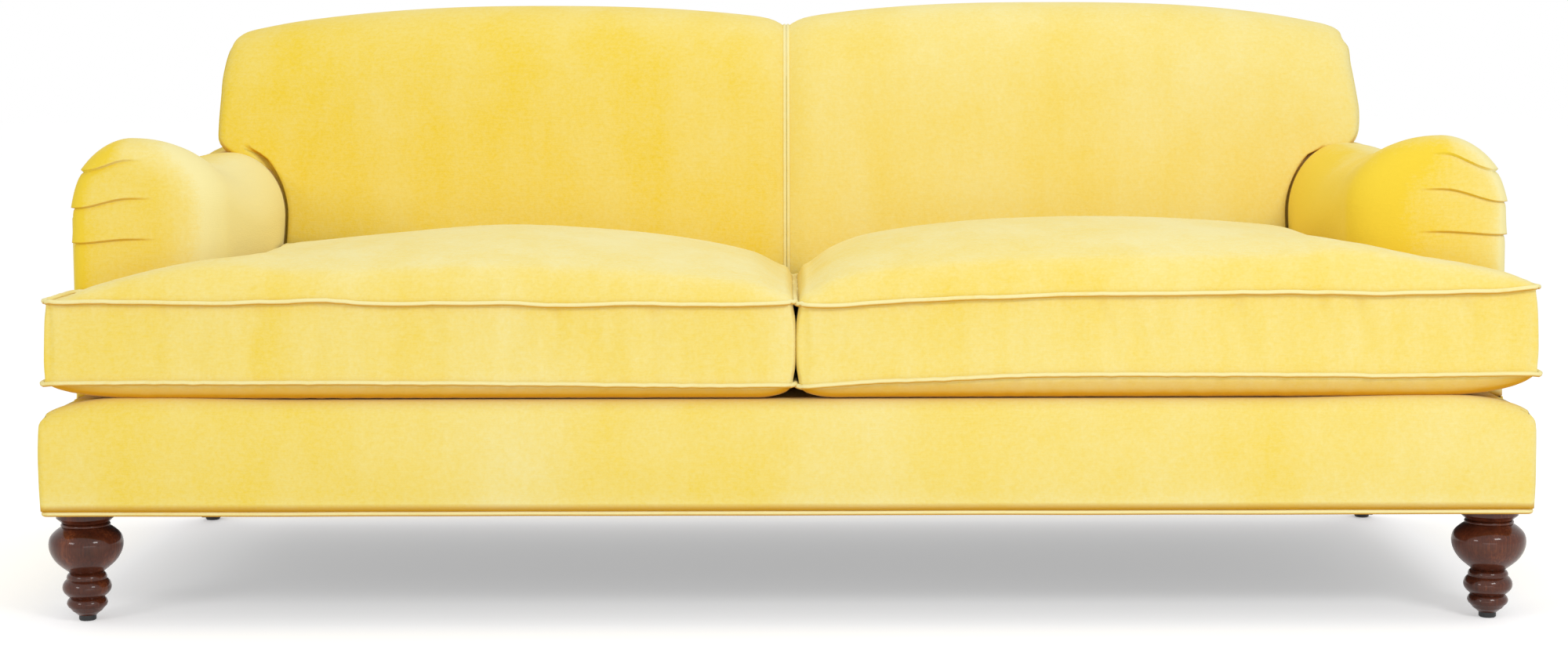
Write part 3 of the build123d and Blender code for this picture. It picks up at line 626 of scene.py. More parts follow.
# %% Back halves
CREST = 0.430
CENTRE_DIP = 0.028
END_DROP = 0.044
CREST_DEPTH = 0.782
REAR_DROP = 0.095
SHOULDER = 0.096
END_FULL = -0.001
SPAN_STEPS = (12, 32, 12, 10)
REAR_STEPS = 12
FOOT_STEPS = 6
CREST_POINT = sum(SPAN_STEPS[:3])
back_half = -back_low.x
back_front = back_low.y - front
back_peak = back_high.z
BACK_DROP = {"left": 0.0035, "right": -0.001}
END_LINE = {
    "left": [
        (0.655, 0.024), (0.664, 0.012), (0.675, 0.004), (0.690, 0.0022), (0.749, 0.0036), (0.776, 0.0037),
        (0.802, 0.0063), (0.829, 0.0090), (0.842, 0.0100), (0.855, 0.0127),
    ],
    "right": [
        (0.655, 0.024), (0.664, 0.010), (0.675, 0.001), (0.690, -0.0045), (0.723, -0.0068), (0.749, -0.0045),
        (0.776, -0.0017), (0.802, 0.0010), (0.829, 0.0), (0.842, 0.0040), (0.855, 0.0010),
    ],
}


def back_top(across, drop=0.0):
    """Height of the top line: a valley, an arch, then a falling end."""
    if across < CREST:
        return back_peak - drop - (CENTRE_DIP - drop) * (1 - across / CREST) ** 2.5
    fall = 2.8 - 170 * max(drop, 0)
    return back_peak - drop - END_DROP * ((across - CREST) / (back_half - CREST)) ** fall


def back_outline(across, inset=0.0, drop=0.0):
    """(depth, z) points from the foot of the front, over the top and down the rear."""
    top = back_top(across, drop) - inset
    near = back_front + inset
    shoulder = top - SHOULDER
    rear_top = top - REAR_DROP
    rear = rear_depth(rear_top)
    knots = [
        (near, pad_bottom), (near, pad_bottom + 0.12), (near + 0.008, 0.40),
        (near + 0.016, 0.511), (near + 0.026, 0.60), (near + 0.038, shoulder - 0.06),
        (near + 0.062, shoulder), (near + 0.086, shoulder + 0.055), (CREST_DEPTH - 0.075, top),
        (CREST_DEPTH, top), (CREST_DEPTH + 0.085, top), (rear + 0.003, rear_top + 0.05),
        (rear, rear_top),
    ]
    points = []
    for span, steps in enumerate(SPAN_STEPS):
        four = [Vector((u, v, 0)) for u, v in knots[3 * span : 3 * span + 4]]
        points += [(p.x, p.y) for p in interpolate_bezier(*four, steps + 1)[:-1]]
    foot = rear_depth(pad_bottom)
    for step in range(REAR_STEPS):
        down = (pad_bottom - rear_top) * step / REAR_STEPS
        points.append((rear + (foot - rear) * step / REAR_STEPS, rear_top + down))
    points += [(foot + (near - foot) * step / FOOT_STEPS, pad_bottom) for step in range(FOOT_STEPS)]
    return points


FACE = [(z, depth) for depth, z in back_outline(0.8)[: CREST_POINT - 2]]
SEAM_AT = 0.824
SEAM_WIDEST = 0.893
SEAM_HIGHEST = 0.66
SEAM_LINE = (
    (-0.030, 0.0), (-0.012, 0.0), (-0.0052, 0.0004), (-0.0034, 0.003), (-0.0022, 0.012), (0.0010, 0.022),
    (0.012, 0.026),
)
OUTER_END = (
    (0.0, 0.020), (0.0005, 0.015), (0.002, 0.0105), (0.005, 0.0065), (0.009, 0.0038), (0.015, 0.0018),
    (0.026, 0.0005),
)
END_DOME = ((0.012, 0.003), (0.02, 0.002), (0.03, 0.001))
VALLEY = (
    (0.044, 0.0004), (0.030, 0.0015), (0.019, 0.004), (0.010, 0.0075), (0.004, 0.0105), (0.0006, 0.0125),
)


def back_face(z):
    """Depth of the front of the back at a height, for the arms that run into it."""
    return along(FACE, z)


def arm_edge(z):
    """Across of the arm's outline where the back runs into it."""
    return arm_outline(z, back_face(min(z, SEAM_HIGHEST)))


def seam_shift(across, z):
    """Moves the stations beside an arm sideways, so that one of them follows the arm's outline."""
    shift = (min(arm_edge(z), SEAM_WIDEST) - SEAM_AT) * eased((0.82 - z) / 0.13)
    if across < SEAM_AT:
        return shift * max((across - 0.55) / (SEAM_AT - 0.55), 0) if across < SEAM_AT - 0.031 else shift
    limit = back_half - 0.004
    return shift * min(max((limit - across) / (limit - SEAM_AT - 0.012), 0), 1)


def laddered(bm, around, crest, corner):
    """Closes a ring with faces that climb its two sides like a ladder, from the foot to the crest."""
    far = around[corner : crest - 1 : -1]
    bm.faces.new(around[1::-1] + around[: corner - 1 : -1] + [far[1]])
    i = j = 1
    last = len(far) - 2
    while i < crest - 1 or j < last:
        if j == last or (i < crest - 1 and around[i + 1].co.z < far[j + 1].co.z):
            bm.faces.new((around[i], around[i + 1], far[j]))
            i += 1
        else:
            bm.faces.new((around[i], far[j + 1], far[j]))
            j += 1
    bm.faces.new((around[i], around[i + 1], far[j]))


def back_half_piece(name, sign, finish):
    """One half of the back, pulled from its outer end to the middle seam."""
    stations = [(back_half + END_FULL - reach, inset, 0.0) for reach, inset in OUTER_END]
    stations += [(across, 0.0, 0.0) for across in (back_half - 0.036, 0.900, 0.872, 0.850)]
    stations += [(SEAM_AT + off, 0.0, tuck) for off, tuck in reversed(SEAM_LINE)]
    stations += [(0.770 - 0.710 * step / 32, 0.0, 0.0) for step in range(33)]
    stations += [(across, inset, 0.0) for across, inset in VALLEY]
    outlines = []
    for across, inset, tuck in stations:
        outline = []
        for depth, z in back_outline(across, inset, BACK_DROP[name]):
            if depth < back_front + 0.09:
                depth += tuck * eased((SEAM_WIDEST - arm_edge(z)) / 0.020)
            x = across + seam_shift(across, z)
            x -= eased((x - back_half + 0.12) / 0.10) * along(END_LINE[name], z)
            outline.append(Vector((sign * x, front + depth, z)))
        outlines.append(outline)
    bm = bmesh.new()
    rings = lofted(bm, outlines)
    end = bm.faces.new(rings[0])
    for depth, out in END_DOME:
        bmesh.ops.inset_region(bm, faces=[end], thickness=depth, depth=0.0, use_even_offset=True)
        for point in end.verts:
            point.co.x += sign * out
    around = [loop.vert for loop in end.loops]
    start = min(range(len(around)), key=lambda n: (around[n].co - outlines[0][0]).length)
    around = around[start:] + around[:start]
    if (around[1].co - outlines[0][1]).length > (around[-1].co - outlines[0][1]).length:
        around = around[:1] + around[:0:-1]
    bmesh.ops.delete(bm, geom=[end], context="FACES_ONLY")
    laddered(bm, around, crest=CREST_POINT, corner=len(around) - FOOT_STEPS)
    bm.faces.new(rings[-1])
    cover = piece(f"{name}_back_cover", bm, "frame", finish, f"{name}_back_pad")
    return cover


back_half_piece("left", -1, VELVET_BACK_LEFT)
back_half_piece("right", 1, VELVET_BACK_RIGHT)

# %% [markdown]
# ## The double piping of the middle seam
# A flat double piping hides the seam between the halves: two thin cords side by side, from the deck over
# the top to the rear. Both follow the outline of the back where it is drawn in deepest.

# %% Double piping
CORD_SIDE = 0.0029
CORD_RADIUS = 0.0028
CORD_SINK = 0.0095
line = back_outline(0.0, CORD_SINK)[FOOT_STEPS : -2 * FOOT_STEPS]
first, second = (
    cord_mesh([Vector((x, front + depth, z)) for depth, z in line], CORD_RADIUS, closed=False)
    for x in (-CORD_SIDE, CORD_SIDE)
)
cords = joined(first, second)
piece("middle_double_piping", cords, "frame", VELVET_PIPING, "centre_welt")

# %% [markdown]
# ## Arms
# The cloth of an arm goes round its front in one piece, so the fullness is taken up in three pleats at
# the outer corner. Seen from above, each row of cloth is a U: forward along the outside, round the front
# and back along the inside. Rows are extruded upwards from the deck until they close on the ridge of the
# roll. Close rows under each pleat let one fold lie over the next, and beside the back the cloth is drawn
# in, where it is tucked.

# %% Arms with their pleats
PLEAT_DEPTH = 0.0028
PLEAT_GROOVE = 0.0034
ARM_REACH = {"left": -0.0040, "right": 0.0045}
ARM_DIP = {"left": -0.0035, "right": 0.0085}
ARM_PLEATS = {
    "left": [(0.85, 0.006, 0.34), (1.11, 0.014, 0.32), (1.50, 0.021, 0.30)],
    "right": [(0.875, 0.005, 0.34), (1.17, 0.019, 0.34), (1.55, 0.033, 0.34)],
}
SIDE_LENGTH = 0.28
ROLL_LENGTH = 0.162
TUCK_AT = (-0.012, -0.007, -0.004, -0.0015, 0.001, 0.006)
TUCK = (0.0, 0.0, 0.0004, 0.0012, 0.0020, 0.0030)
CLOSE_ROWS = (-0.012, -0.006, -0.003, -0.0008, 0.0005, 0.003, 0.008, 0.016)


def arc(height):
    """Length of cloth from the deck up to a height."""
    return SIDE_LENGTH * min(height, 1) + ROLL_LENGTH * max(height - 1, 0)


def height_at(length):
    """The height that lies that far up the cloth."""
    return length / SIDE_LENGTH if length < SIDE_LENGTH else 1 + (length - SIDE_LENGTH) / ROLL_LENGTH


def arm_rows(pleats):
    """Heights of the rows: even ones, and close ones at each pleat."""
    rows = [2 * step / 44 for step in range(45)]
    for height, _, _ in pleats:
        close = [height_at(arc(height) + off) for off in CLOSE_ROWS]
        rows = [row for row in rows if not close[0] - 0.012 < row < close[-1] + 0.012] + close
    return sorted(rows)


def hung(height, pleats, share):
    """A row hangs lower at its outer end, where the pleats gather it."""
    stops = [(0.0, 0.0)] + [(h, drop) for h, drop, _ in pleats] + [(2.0, 0.0)]
    return height_at(arc(height) - along(stops, height) * share)


def pleat_lift(height, pleats, across_share, fade):
    """How far a fold stands out: most at its lower lip, nothing just under it."""
    lift = 0.0
    for place, _, reach in pleats:
        off = arc(height) - arc(place)
        ends = eased((reach - across_share) / 0.44) * fade
        if off > 0:
            lift += PLEAT_DEPTH * ends * math.exp(-off / 0.024)
        else:
            lift -= PLEAT_GROOVE * ends * math.exp(off / 0.004)
    return lift


def arm(name, sign):
    """One arm: U-shaped rows of cloth, extruded up from the deck and closed on the ridge of the roll."""
    pleats = ARM_PLEATS[name]
    reach = ARM_REACH[name]
    start = arm_front + ARM_NOSE
    shares = [-math.cos(math.pi * step / 36) for step in range(1, 36)]
    outlines, lifts = [], []
    for height in arm_rows(pleats):
        row, lift = [], []
        z, angle = arm_level(height, 0.7)
        face, rear = back_face(z), rear_depth(z)
        run = [(start + (face - 0.014 - start) * (step / 15) ** 1.3, 0.0) for step in range(15)]
        run += [(face + off, tuck) for off, tuck in zip(TUCK_AT, TUCK)]
        run += [(face + (rear - face) * step / 3, TUCK[-1]) for step in (1, 2, 3)]

        def add(place, share, fade, tuck=0.0):
            across, depth, z = place
            across += tuck * (math.cos(angle) if share > 0 else -0.2 * math.cos(angle))
            scoop = ARM_DIP[name] * eased((depth - 0.30) / 0.12)
            row.append(Vector((sign * across, front + depth, z + (scoop - tuck) * math.sin(angle))))
            lift.append(pleat_lift(height, pleats, share, fade))

        for depth, tuck in reversed(run):
            hang = hung(height, pleats, eased((start + 0.1 - depth) / 0.1))
            add(arm_side(hang, depth, False, reach), -1, eased((start + 0.07 - depth) / 0.07), tuck)
        for share in shares:
            add(arm_nose(hung(height, pleats, eased((0.1 - share) / 1.0)), share, reach), share, 1.0)
        for depth, tuck in run:
            add(arm_side(height, depth, True), 1, 0.0, tuck)
        outlines.append(row)
        lifts.append(lift)
    bm = bmesh.new()
    rings = lofted(bm, outlines, closed=False)
    bm.normal_update()
    bmesh.ops.recalc_face_normals(bm, faces=bm.faces)
    moved = [(point, point.co + point.normal * up) for row, lift in zip(rings, lifts)
             for point, up in zip(row, lift) if abs(up) > 0]
    for point, place in moved:
        point.co = place
    bmesh.ops.remove_doubles(bm, verts=bm.verts, dist=0.0002)
    made = bmesh.ops.holes_fill(bm, edges=[edge for edge in bm.edges if edge.is_boundary], sides=0)
    print(name, "arm closed with", len(made["faces"]), "faces")
    cover = piece(f"{name}_arm_cover", bm, "frame", VELVET_ARM, f"{name}_arm_pad")
    return cover


arm("left", -1)
arm("right", 1)

# %% [markdown]
# ## Outside panels
# The outer faces of the arms, with the ends of the base, and the whole rear are flat panels of velvet
# over card and wadding, blind-stitched along their edges. Each one is a grid cut to its outline,
# thickened, and rolled down along its edges. Its surface is a little full, since wadding never lies quite
# flat.

# %% Outside arms
PANEL_THICK = 0.012
EDGE_ROLL = 0.010
panel_foot = border_low.z + 0.0006
STUMP = 0.2045
ARM_TUCK = 0.5805


def spaced(stops, count):
    """The place of a grid line, counted evenly between (count, place) stops."""
    n = next(k for k in range(1, len(stops)) if count <= stops[k][0])
    (a, low), (b, high) = stops[n - 1], stops[n]
    return low + (high - low) * (count - a) / (b - a)


def plan_grid(bm, across, depth):
    """A flat grid whose lines are spaced between (count, place) stops."""
    columns = across[-1][0]
    rows = depth[-1][0]
    made = bmesh.ops.create_grid(bm, x_segments=columns, y_segments=rows, size=1.0)["verts"]
    reach = max(v.co.x for v in made)
    for vert in made:
        vert.co.x, vert.co.y = (
            spaced(across, round((vert.co.x / reach + 1) / 2 * columns)),
            spaced(depth, round((vert.co.y / reach + 1) / 2 * rows)),
        )
    return made


def cut_away(bm, spare):
    """Cuts faces off a flat grid: spare tells of a middle point whether its face goes."""
    middles = [(face, face.calc_center_median()) for face in bm.faces]
    bmesh.ops.delete(bm, geom=[face for face, at in middles if spare(at)], context="FACES")


def bulge(distance, reach):
    """0 at an edge or a seam to 1 at its reach, round like a stuffed edge."""
    return math.sqrt(1 - (1 - min(max(distance, 0) / reach, 1)) ** 2)


def panel(name, bm, place, finish, replaced):
    """Thickens a flat grid into a panel: place says where a point (u, v) goes at a share of the thickness."""
    edge_points = [v.co.copy() for v in bm.verts if v.is_boundary]
    distance = {v: min((v.co - p).length for p in edge_points) for v in bm.verts}
    under = {v: v.co.copy() for v in bm.verts}
    grown = bmesh.ops.extrude_face_region(bm, geom=bm.faces[:], use_keep_orig=True)["geom"]
    outer = [item for item in grown if isinstance(item, bmesh.types.BMVert)]
    plan = {(round(p.x, 5), round(p.y, 5)): distance[v] for v, p in under.items()}
    for vert in outer:
        u, v = vert.co.x, vert.co.y
        share = 0.25 + 0.75 * bulge(plan[(round(u, 5), round(v, 5))], EDGE_ROLL)
        swell = 0.0009 * noise.noise(Vector((u * 7, v * 7, 1.7))) * share
        vert.co = place(u, v, share + swell / PANEL_THICK)
    for vert, flat in under.items():
        vert.co = place(flat.x, flat.y, 0.0)
    return piece(name, bm, "frame", finish, replaced)


def outside_arm(name, sign):
    """The outer face of one arm, with the end of the base below it."""
    bm = bmesh.new()
    plan_grid(
        bm,
        [(0, arm_front + 0.0008), (3, 0.174), (5, STUMP), (8, STUMP + 0.009), (34, 0.99), (37, 1.0)],
        [(0, panel_foot), (3, panel_foot + 0.009), (11, pad_bottom), (14, pad_bottom + 0.009),
         (30, ARM_TUCK - 0.009), (33, ARM_TUCK)],
    )
    cut_away(bm, lambda at: at.x < STUMP and at.y > pad_bottom)

    def place(depth, z, share):
        if depth > STUMP:
            depth = STUMP + (depth - STUMP) / (1 - STUMP) * (rear_depth(z, 0.0125) - STUMP)
        out = side + max(ARM_REACH[name], 0) * eased((0.6 - depth) / 0.35)
        return Vector((sign * (out - PANEL_THICK + PANEL_THICK * share), front + depth, z))

    return panel(f"{name}_outside_arm_cover", bm, place, VELVET_BASE, f"{name}_outside_arm")


outside_arm("left", -1)
outside_arm("right", 1)
print("panels stand out to", round(side, 4), "the arms to", round(arm_outer, 4))

# %% Outside back
ROLL_SPRING = 0.562
ROLL_TOP = 0.668
ROLL_PEAK = 0.940
ARCH_HALF = 0.908
ARCH_DROP = 0.097
ARCH_CORNER = 0.044
ARCH = 0.115
WAIST = ROLL_TOP + 0.002


def rear_half(z):
    """Half the width of the rear panel at a height: the base, the outline of the arm, then the arch."""
    if z <= ROLL_SPRING:
        return side
    if z <= ROLL_TOP:
        share = (z - ROLL_SPRING) / (ROLL_TOP - ROLL_SPRING)
        return ROLL_PEAK + (side - ROLL_PEAK) * math.sqrt(1 - share**2)
    return ARCH_HALF


def rear_top(x):
    """Top line of the rear panel, with rounded shoulders."""
    over = max(abs(x) - ARCH_HALF + ARCH_CORNER, 0)
    return back_top(abs(x)) - ARCH_DROP - (ARCH_CORNER - math.sqrt(max(ARCH_CORNER**2 - over**2, 0)))


def rear_place(u, z, share):
    """Where a point of the grid goes on the rear, at a share of the panel's thickness."""
    x = u * rear_half(z)
    if z > WAIST:
        z = WAIST + (z - WAIST) / ARCH * (rear_top(x) - WAIST)
    return Vector((x, front + rear_depth(z, PANEL_THICK) + PANEL_THICK * share, z))


bm = bmesh.new()
plan_grid(
    bm,
    [(0, -1.0), (3, -0.990), (63, 0.990), (66, 1.0)],
    [(0, panel_foot), (3, panel_foot + 0.009), (20, ROLL_SPRING), (32, ROLL_TOP), (33, WAIST),
     (40, WAIST + 0.105), (43, WAIST + ARCH)],
)
panel("outside_back_cover", bm, rear_place, VELVET_BASE, "outside_back")

# %% [markdown]
# ## The deck
# Under the loose cushions lies the deck: a thin pad over the springs in plain cloth, T-shaped like the
# cushions. It only shows when a cushion is lifted off.

# %% Deck
DECK_CLOTH = velvet("decking_cloth", pale=0.3, streak=(20, 20, 20))
DECK_NECK = 0.8478
deck_wide = side - 0.037
deck_near = BORDER_BACK + 0.0006
thick = deck_top - pad_bottom


def deck_place(x, depth, share):
    """Where a point of the grid goes on the deck, with a slow wave in the cloth."""
    share = min(share, 1)
    wave = 0.0012 * (noise.noise(Vector((x * 9, depth * 9, 6.0))) - 1) * share
    return Vector((x, front + depth, pad_bottom + 0.0002 + (thick - 0.0004) * share + wave))


bm = bmesh.new()
plan_grid(
    bm,
    [(0, -deck_wide), (2, -deck_wide + 0.006), (8, -DECK_NECK), (10, -DECK_NECK + 0.006),
     (80, DECK_NECK - 0.006), (82, DECK_NECK), (88, deck_wide - 0.006), (90, deck_wide)],
    [(0, deck_near), (2, deck_near + 0.006), (9, arm_front - 0.007), (11, arm_front), (13, arm_front + 0.006),
     (36, back_front - 0.009), (38, back_front - 0.0015)],
)
cut_away(bm, lambda at: abs(at.x) > DECK_NECK and at.y > arm_front)
deck = panel("deck_cover", bm, deck_place, DECK_CLOTH, "deck_pad")

# %% [markdown]
# ## Seat cushions
# Each cushion is T-shaped in plan: an ear reaches round in front of the arm. Two panels are sewn to a
# boxing strip through piping, and stuffed until the panels crown. The plan is a grid with one corner cut
# away; it is extruded up for the boxing. A membrane under even pressure stands highest where it is
# farthest from its seams, so the crown is relaxed from the seams like one. Cloth under air pressure then
# draws the sides in between the corners and puckers the cloth along the seams.

# %% Plan and crown of a cushion
EAR_DEPTH = 0.158
NECK = 0.816
BOXING_HIGH = 0.465
NEAR = 0.0045
FAR = 0.581
SEAT = {
    "left": {
        "inner": -0.009, "outer": 1.0555, "neck_lift": 0.018, "wave": 3.1,
        "crown": [
            (-0.009, 0.481), (0.053, 0.508), (0.161, 0.530), (0.294, 0.5436), (0.440, 0.549), (0.609, 0.538),
            (0.766, 0.524), (0.850, 0.516), (0.918, 0.504), (1.000, 0.484), (1.0555, 0.466),
        ],
        "seam": [
            (-0.009, -0.001), (0.071, -0.003), (0.138, -0.0025), (0.227, 0.0), (0.317, -0.0025),
            (0.406, 0.001), (0.586, 0.0005), (0.675, 0.004), (0.750, 0.0025), (0.960, 0.0025),
            (1.0555, 0.001),
        ],
        "low": [(-0.009, 0.347), (0.140, 0.3465), (0.317, 0.349), (0.600, 0.3515), (1.0555, 0.352)],
    },
    "right": {
        "inner": 0.0165, "outer": 1.067, "neck_lift": 0.036, "wave": 8.4,
        "crown": [
            (0.0165, 0.482), (0.068, 0.514), (0.129, 0.535), (0.274, 0.553), (0.419, 0.559), (0.550, 0.559),
            (0.673, 0.554), (0.760, 0.547), (0.830, 0.536), (0.9145, 0.520), (0.975, 0.511), (1.037, 0.499),
            (1.067, 0.490),
        ],
        "seam": [
            (0.0165, -0.004), (0.064, -0.003), (0.120, 0.0), (0.187, 0.003), (0.265, 0.0064), (0.354, 0.0086),
            (0.444, 0.011), (0.710, 0.0125), (0.846, 0.0105), (0.970, 0.012), (1.014, 0.013), (1.067, 0.0175),
        ],
        "low": [
            (0.0165, 0.3446), (0.064, 0.3468), (0.120, 0.351), (0.187, 0.3535), (0.265, 0.3568),
            (0.354, 0.360), (0.780, 0.360), (0.850, 0.358), (0.970, 0.360), (1.067, 0.361),
        ],
    },
}
SINK = 1.10
HAIR = 0.001
ROUNDS = 260
OVER_STEP = 1.9
PRESSURE = 0.0005


def relaxed(bm):
    """Height of an evenly pressed membrane over the plan's points, 0 on its boundary and 1 at its highest."""
    bm.verts.index_update()
    inside = {v.index: [e.other_vert(v).index for e in v.link_edges] for v in bm.verts if not v.is_boundary}
    height = [0.0] * len(bm.verts)
    for _ in range(ROUNDS):
        for index, near in inside.items():
            goal = (height[near[0]] + height[near[1]] + height[near[2]] + height[near[3]]) / 4 + PRESSURE
            height[index] += OVER_STEP * (goal - height[index])
    most = max(height)
    return [h / most for h in height]


def edge_distance(x, depth, look):
    """Distance from a point of the plan to the nearest seam."""
    near = min(depth - NEAR, x - look["inner"])
    if depth > EAR_DEPTH + HAIR:
        return min(near, NECK - x, FAR - depth)
    if x > NECK:
        return min(near, look["outer"] - x, EAR_DEPTH - depth)
    return min(near, math.hypot(NECK - x, EAR_DEPTH - depth))


def turned(x, depth, look):
    """Turns the corners of the plan with a small radius."""
    inner, outer = look["inner"], look["outer"]
    corners = (
        (inner, NEAR, 1, 1, 0.020), (outer, NEAR, -1, 1, 0.016),
        (outer, EAR_DEPTH, -1, -1, 0.012), (inner, FAR, 1, -1, 0.03),
    )
    for cx, cy, right, back, r in corners:
        u, v = x - cx - right * r, depth - cy - back * r
        beyond = u * right < 0 and v * back < 0 and (cy != FAR or x < NECK)
        if beyond and abs(u) < 2 * r and abs(v) < 2 * r:
            drawn = max(abs(u), abs(v)) / math.hypot(u, v)
            return cx + right * r + u * drawn, cy + back * r + v * drawn
    return x, depth


def seam_level(x, depth, look):
    """Height of the upper seam: it lifts towards the arm and the back."""
    lift = 0.0
    if x < NECK + HAIR:
        lift = look["neck_lift"] * eased((x - 0.42) / 0.36) * eased((depth - 0.03) / 0.15)
    lift += along(look["seam"], x) * eased((0.37 - depth) / 0.2)
    lift += 0.022 * eased((depth - 0.40) / 0.18) * eased((x - 0.12) / 0.3)
    lift -= 0.008 * eased((depth - 0.30) / 0.25) * eased((0.2 - x) / 0.2)
    wave = 0.0024 * noise.noise(Vector((x * 5.5, depth * 5.5, look["wave"])))
    return BOXING_HIGH + lift + wave + 0.0011 * noise.noise(Vector((x * 19, depth * 19, look["wave"] + 5)))


def spot(x, depth):
    """A point of the plan as a key, for what is known about it."""
    return round(x, 4), round(depth, 4)


print("cushions", round(FAR - NEAR, 3), "deep")

# %% Cushion blanks, blown up as cloth
PIN_SEAM = 0.94
PIN_BOXING = 0.80
BLOW_CAP = 0.024
BLOW_FRAMES = 20
SEAM_CREASE = 0.75
WELT_OUT = 0.0024
WELT_RADIUS = 0.0036
CORE_DEPTH = 0.016
BOXING_STEPS = (0, 0.035, 0.18, 0.34, 0.50, 0.66, 0.82, 0.965, 1)
DITCHES = (BOXING_STEPS[1], BOXING_STEPS[-2])


def cushion_blank(name, sign):
    """The stitched cushion before it is blown up, with its seams marked."""
    look = SEAT[name]
    bm = bmesh.new()
    inner, outer = look["inner"], look["outer"]
    plan_grid(
        bm,
        [(0, inner), (3, inner + 0.022), (62, NECK), (78, outer - 0.018), (81, outer)],
        [(0, NEAR), (4, NEAR + 0.026), (13, EAR_DEPTH), (46, FAR)],
    )
    cut_away(bm, lambda at: at.x > NECK and at.y > EAR_DEPTH)
    crown = relaxed(bm)
    crown_at = {spot(*v.co.xy): crown[v.index] for v in bm.verts}
    most = {}
    for (x, _), share in crown_at.items():
        most[x] = max(most.get(x, 1e-6), share)
    for edge in bm.edges:
        edge.seam = edge.is_boundary
    grown = bmesh.ops.extrude_face_region(bm, geom=bm.faces[:], use_keep_orig=True)["geom"]
    top = {item for item in grown if isinstance(item, bmesh.types.BMVert)}
    bottom = [v for v in bm.verts if v not in top]
    for edge in bm.edges:
        if edge.verts[0] in top and edge.verts[1] in top:
            edge.seam = any(
                abs(f.normal.z) < 0.5 or len({v in top for v in f.verts}) > 1 for f in edge.link_faces
            )
    weights, walls_at = {}, {}
    for vert in bottom:
        x, depth = vert.co.x, vert.co.y
        distance = edge_distance(x, depth, look)
        fall = bulge(min(distance, 0.06), 0.06) if depth > NEAR + 0.06 else bulge(depth - NEAR, 0.028)
        fall *= bulge(x - inner, 0.055) * bulge(outer - x, 0.15)
        low = along(look["low"], x) + 0.0012 * noise.noise(Vector((x * 7, depth * 7, look["wave"] + 9)))
        walls_at[spot(x, depth)] = [low, 0]
        vert.co.z = low + (deck_top + 0.0008 - low) * fall
        weights[vert] = PIN_SEAM if distance < HAIR else 0.35 + 0.65 * fall
    for vert in top:
        x, depth = vert.co.x, vert.co.y
        share = crown_at[spot(x, depth)]
        seam = seam_level(x, depth, look)
        rise = max(along(look["crown"], x) - seam, 0) * SINK
        vert.co.z = seam + rise * (share / most[round(x, 4)]) ** 0.55
        walls_at[spot(x, depth)][1] = seam
        weights[vert] = PIN_SEAM if share == 0 else 0.0
    walls = [e for e in bm.edges if (e.verts[0] in top) != (e.verts[1] in top)]
    cut = bmesh.ops.subdivide_edges(bm, edges=walls, cuts=7, use_grid_fill=True)["geom_inner"]
    mid = {v for item in cut if isinstance(item, bmesh.types.BMEdge) for v in item.verts} - top - set(bottom)
    for vert in mid:
        x, depth = vert.co.x, vert.co.y
        low, high = walls_at[spot(x, depth)]
        share = BOXING_STEPS[min(max(round((vert.co.z - low) / (high - low) * 8), 1), 7)]
        vert.co.z = low + (high - low) * share
        ditch = share in DITCHES
        waist = 4 * share * (1 - share)
        streak = noise.noise(Vector((x * 24, depth * 24, look["wave"] + 2)))
        pull = max(noise.noise(Vector((x * 36 + share * 0.9, depth * 36, look["wave"] + 5))) - 0.16, 0)
        if depth < NEAR + HAIR:
            vert.co.y += 0.0022 if ditch else waist * (0.0034 + 0.0018 * streak + 0.0075 * pull)
        elif depth > FAR - 0.01:
            vert.co.y -= waist * 0.0046
        if x > outer - HAIR:
            vert.co.x += (-0.0012 if ditch else waist * (0.0018 - 0.0014 * streak)) + 0.0042 * (1 - share)
        elif x < inner + HAIR:
            vert.co.x += 0.0008 if ditch else waist * (0.002 * streak - 0.0045)
        weights[vert] = PIN_BOXING
    for vert in bm.verts:
        if vert not in mid and vert.co.z < 0.38 and vert.co.x > outer - HAIR:
            vert.co.x += 0.0042
    bm.verts.index_update()
    pins = [(v.index, weights.get(v, PIN_BOXING)) for v in bm.verts]
    for vert in bm.verts:
        x, depth = turned(vert.co.x, vert.co.y, look)
        vert.co = Vector((sign * x, front + depth, vert.co.z))
    bmesh.ops.recalc_face_normals(bm, faces=bm.faces)
    return bm, pins


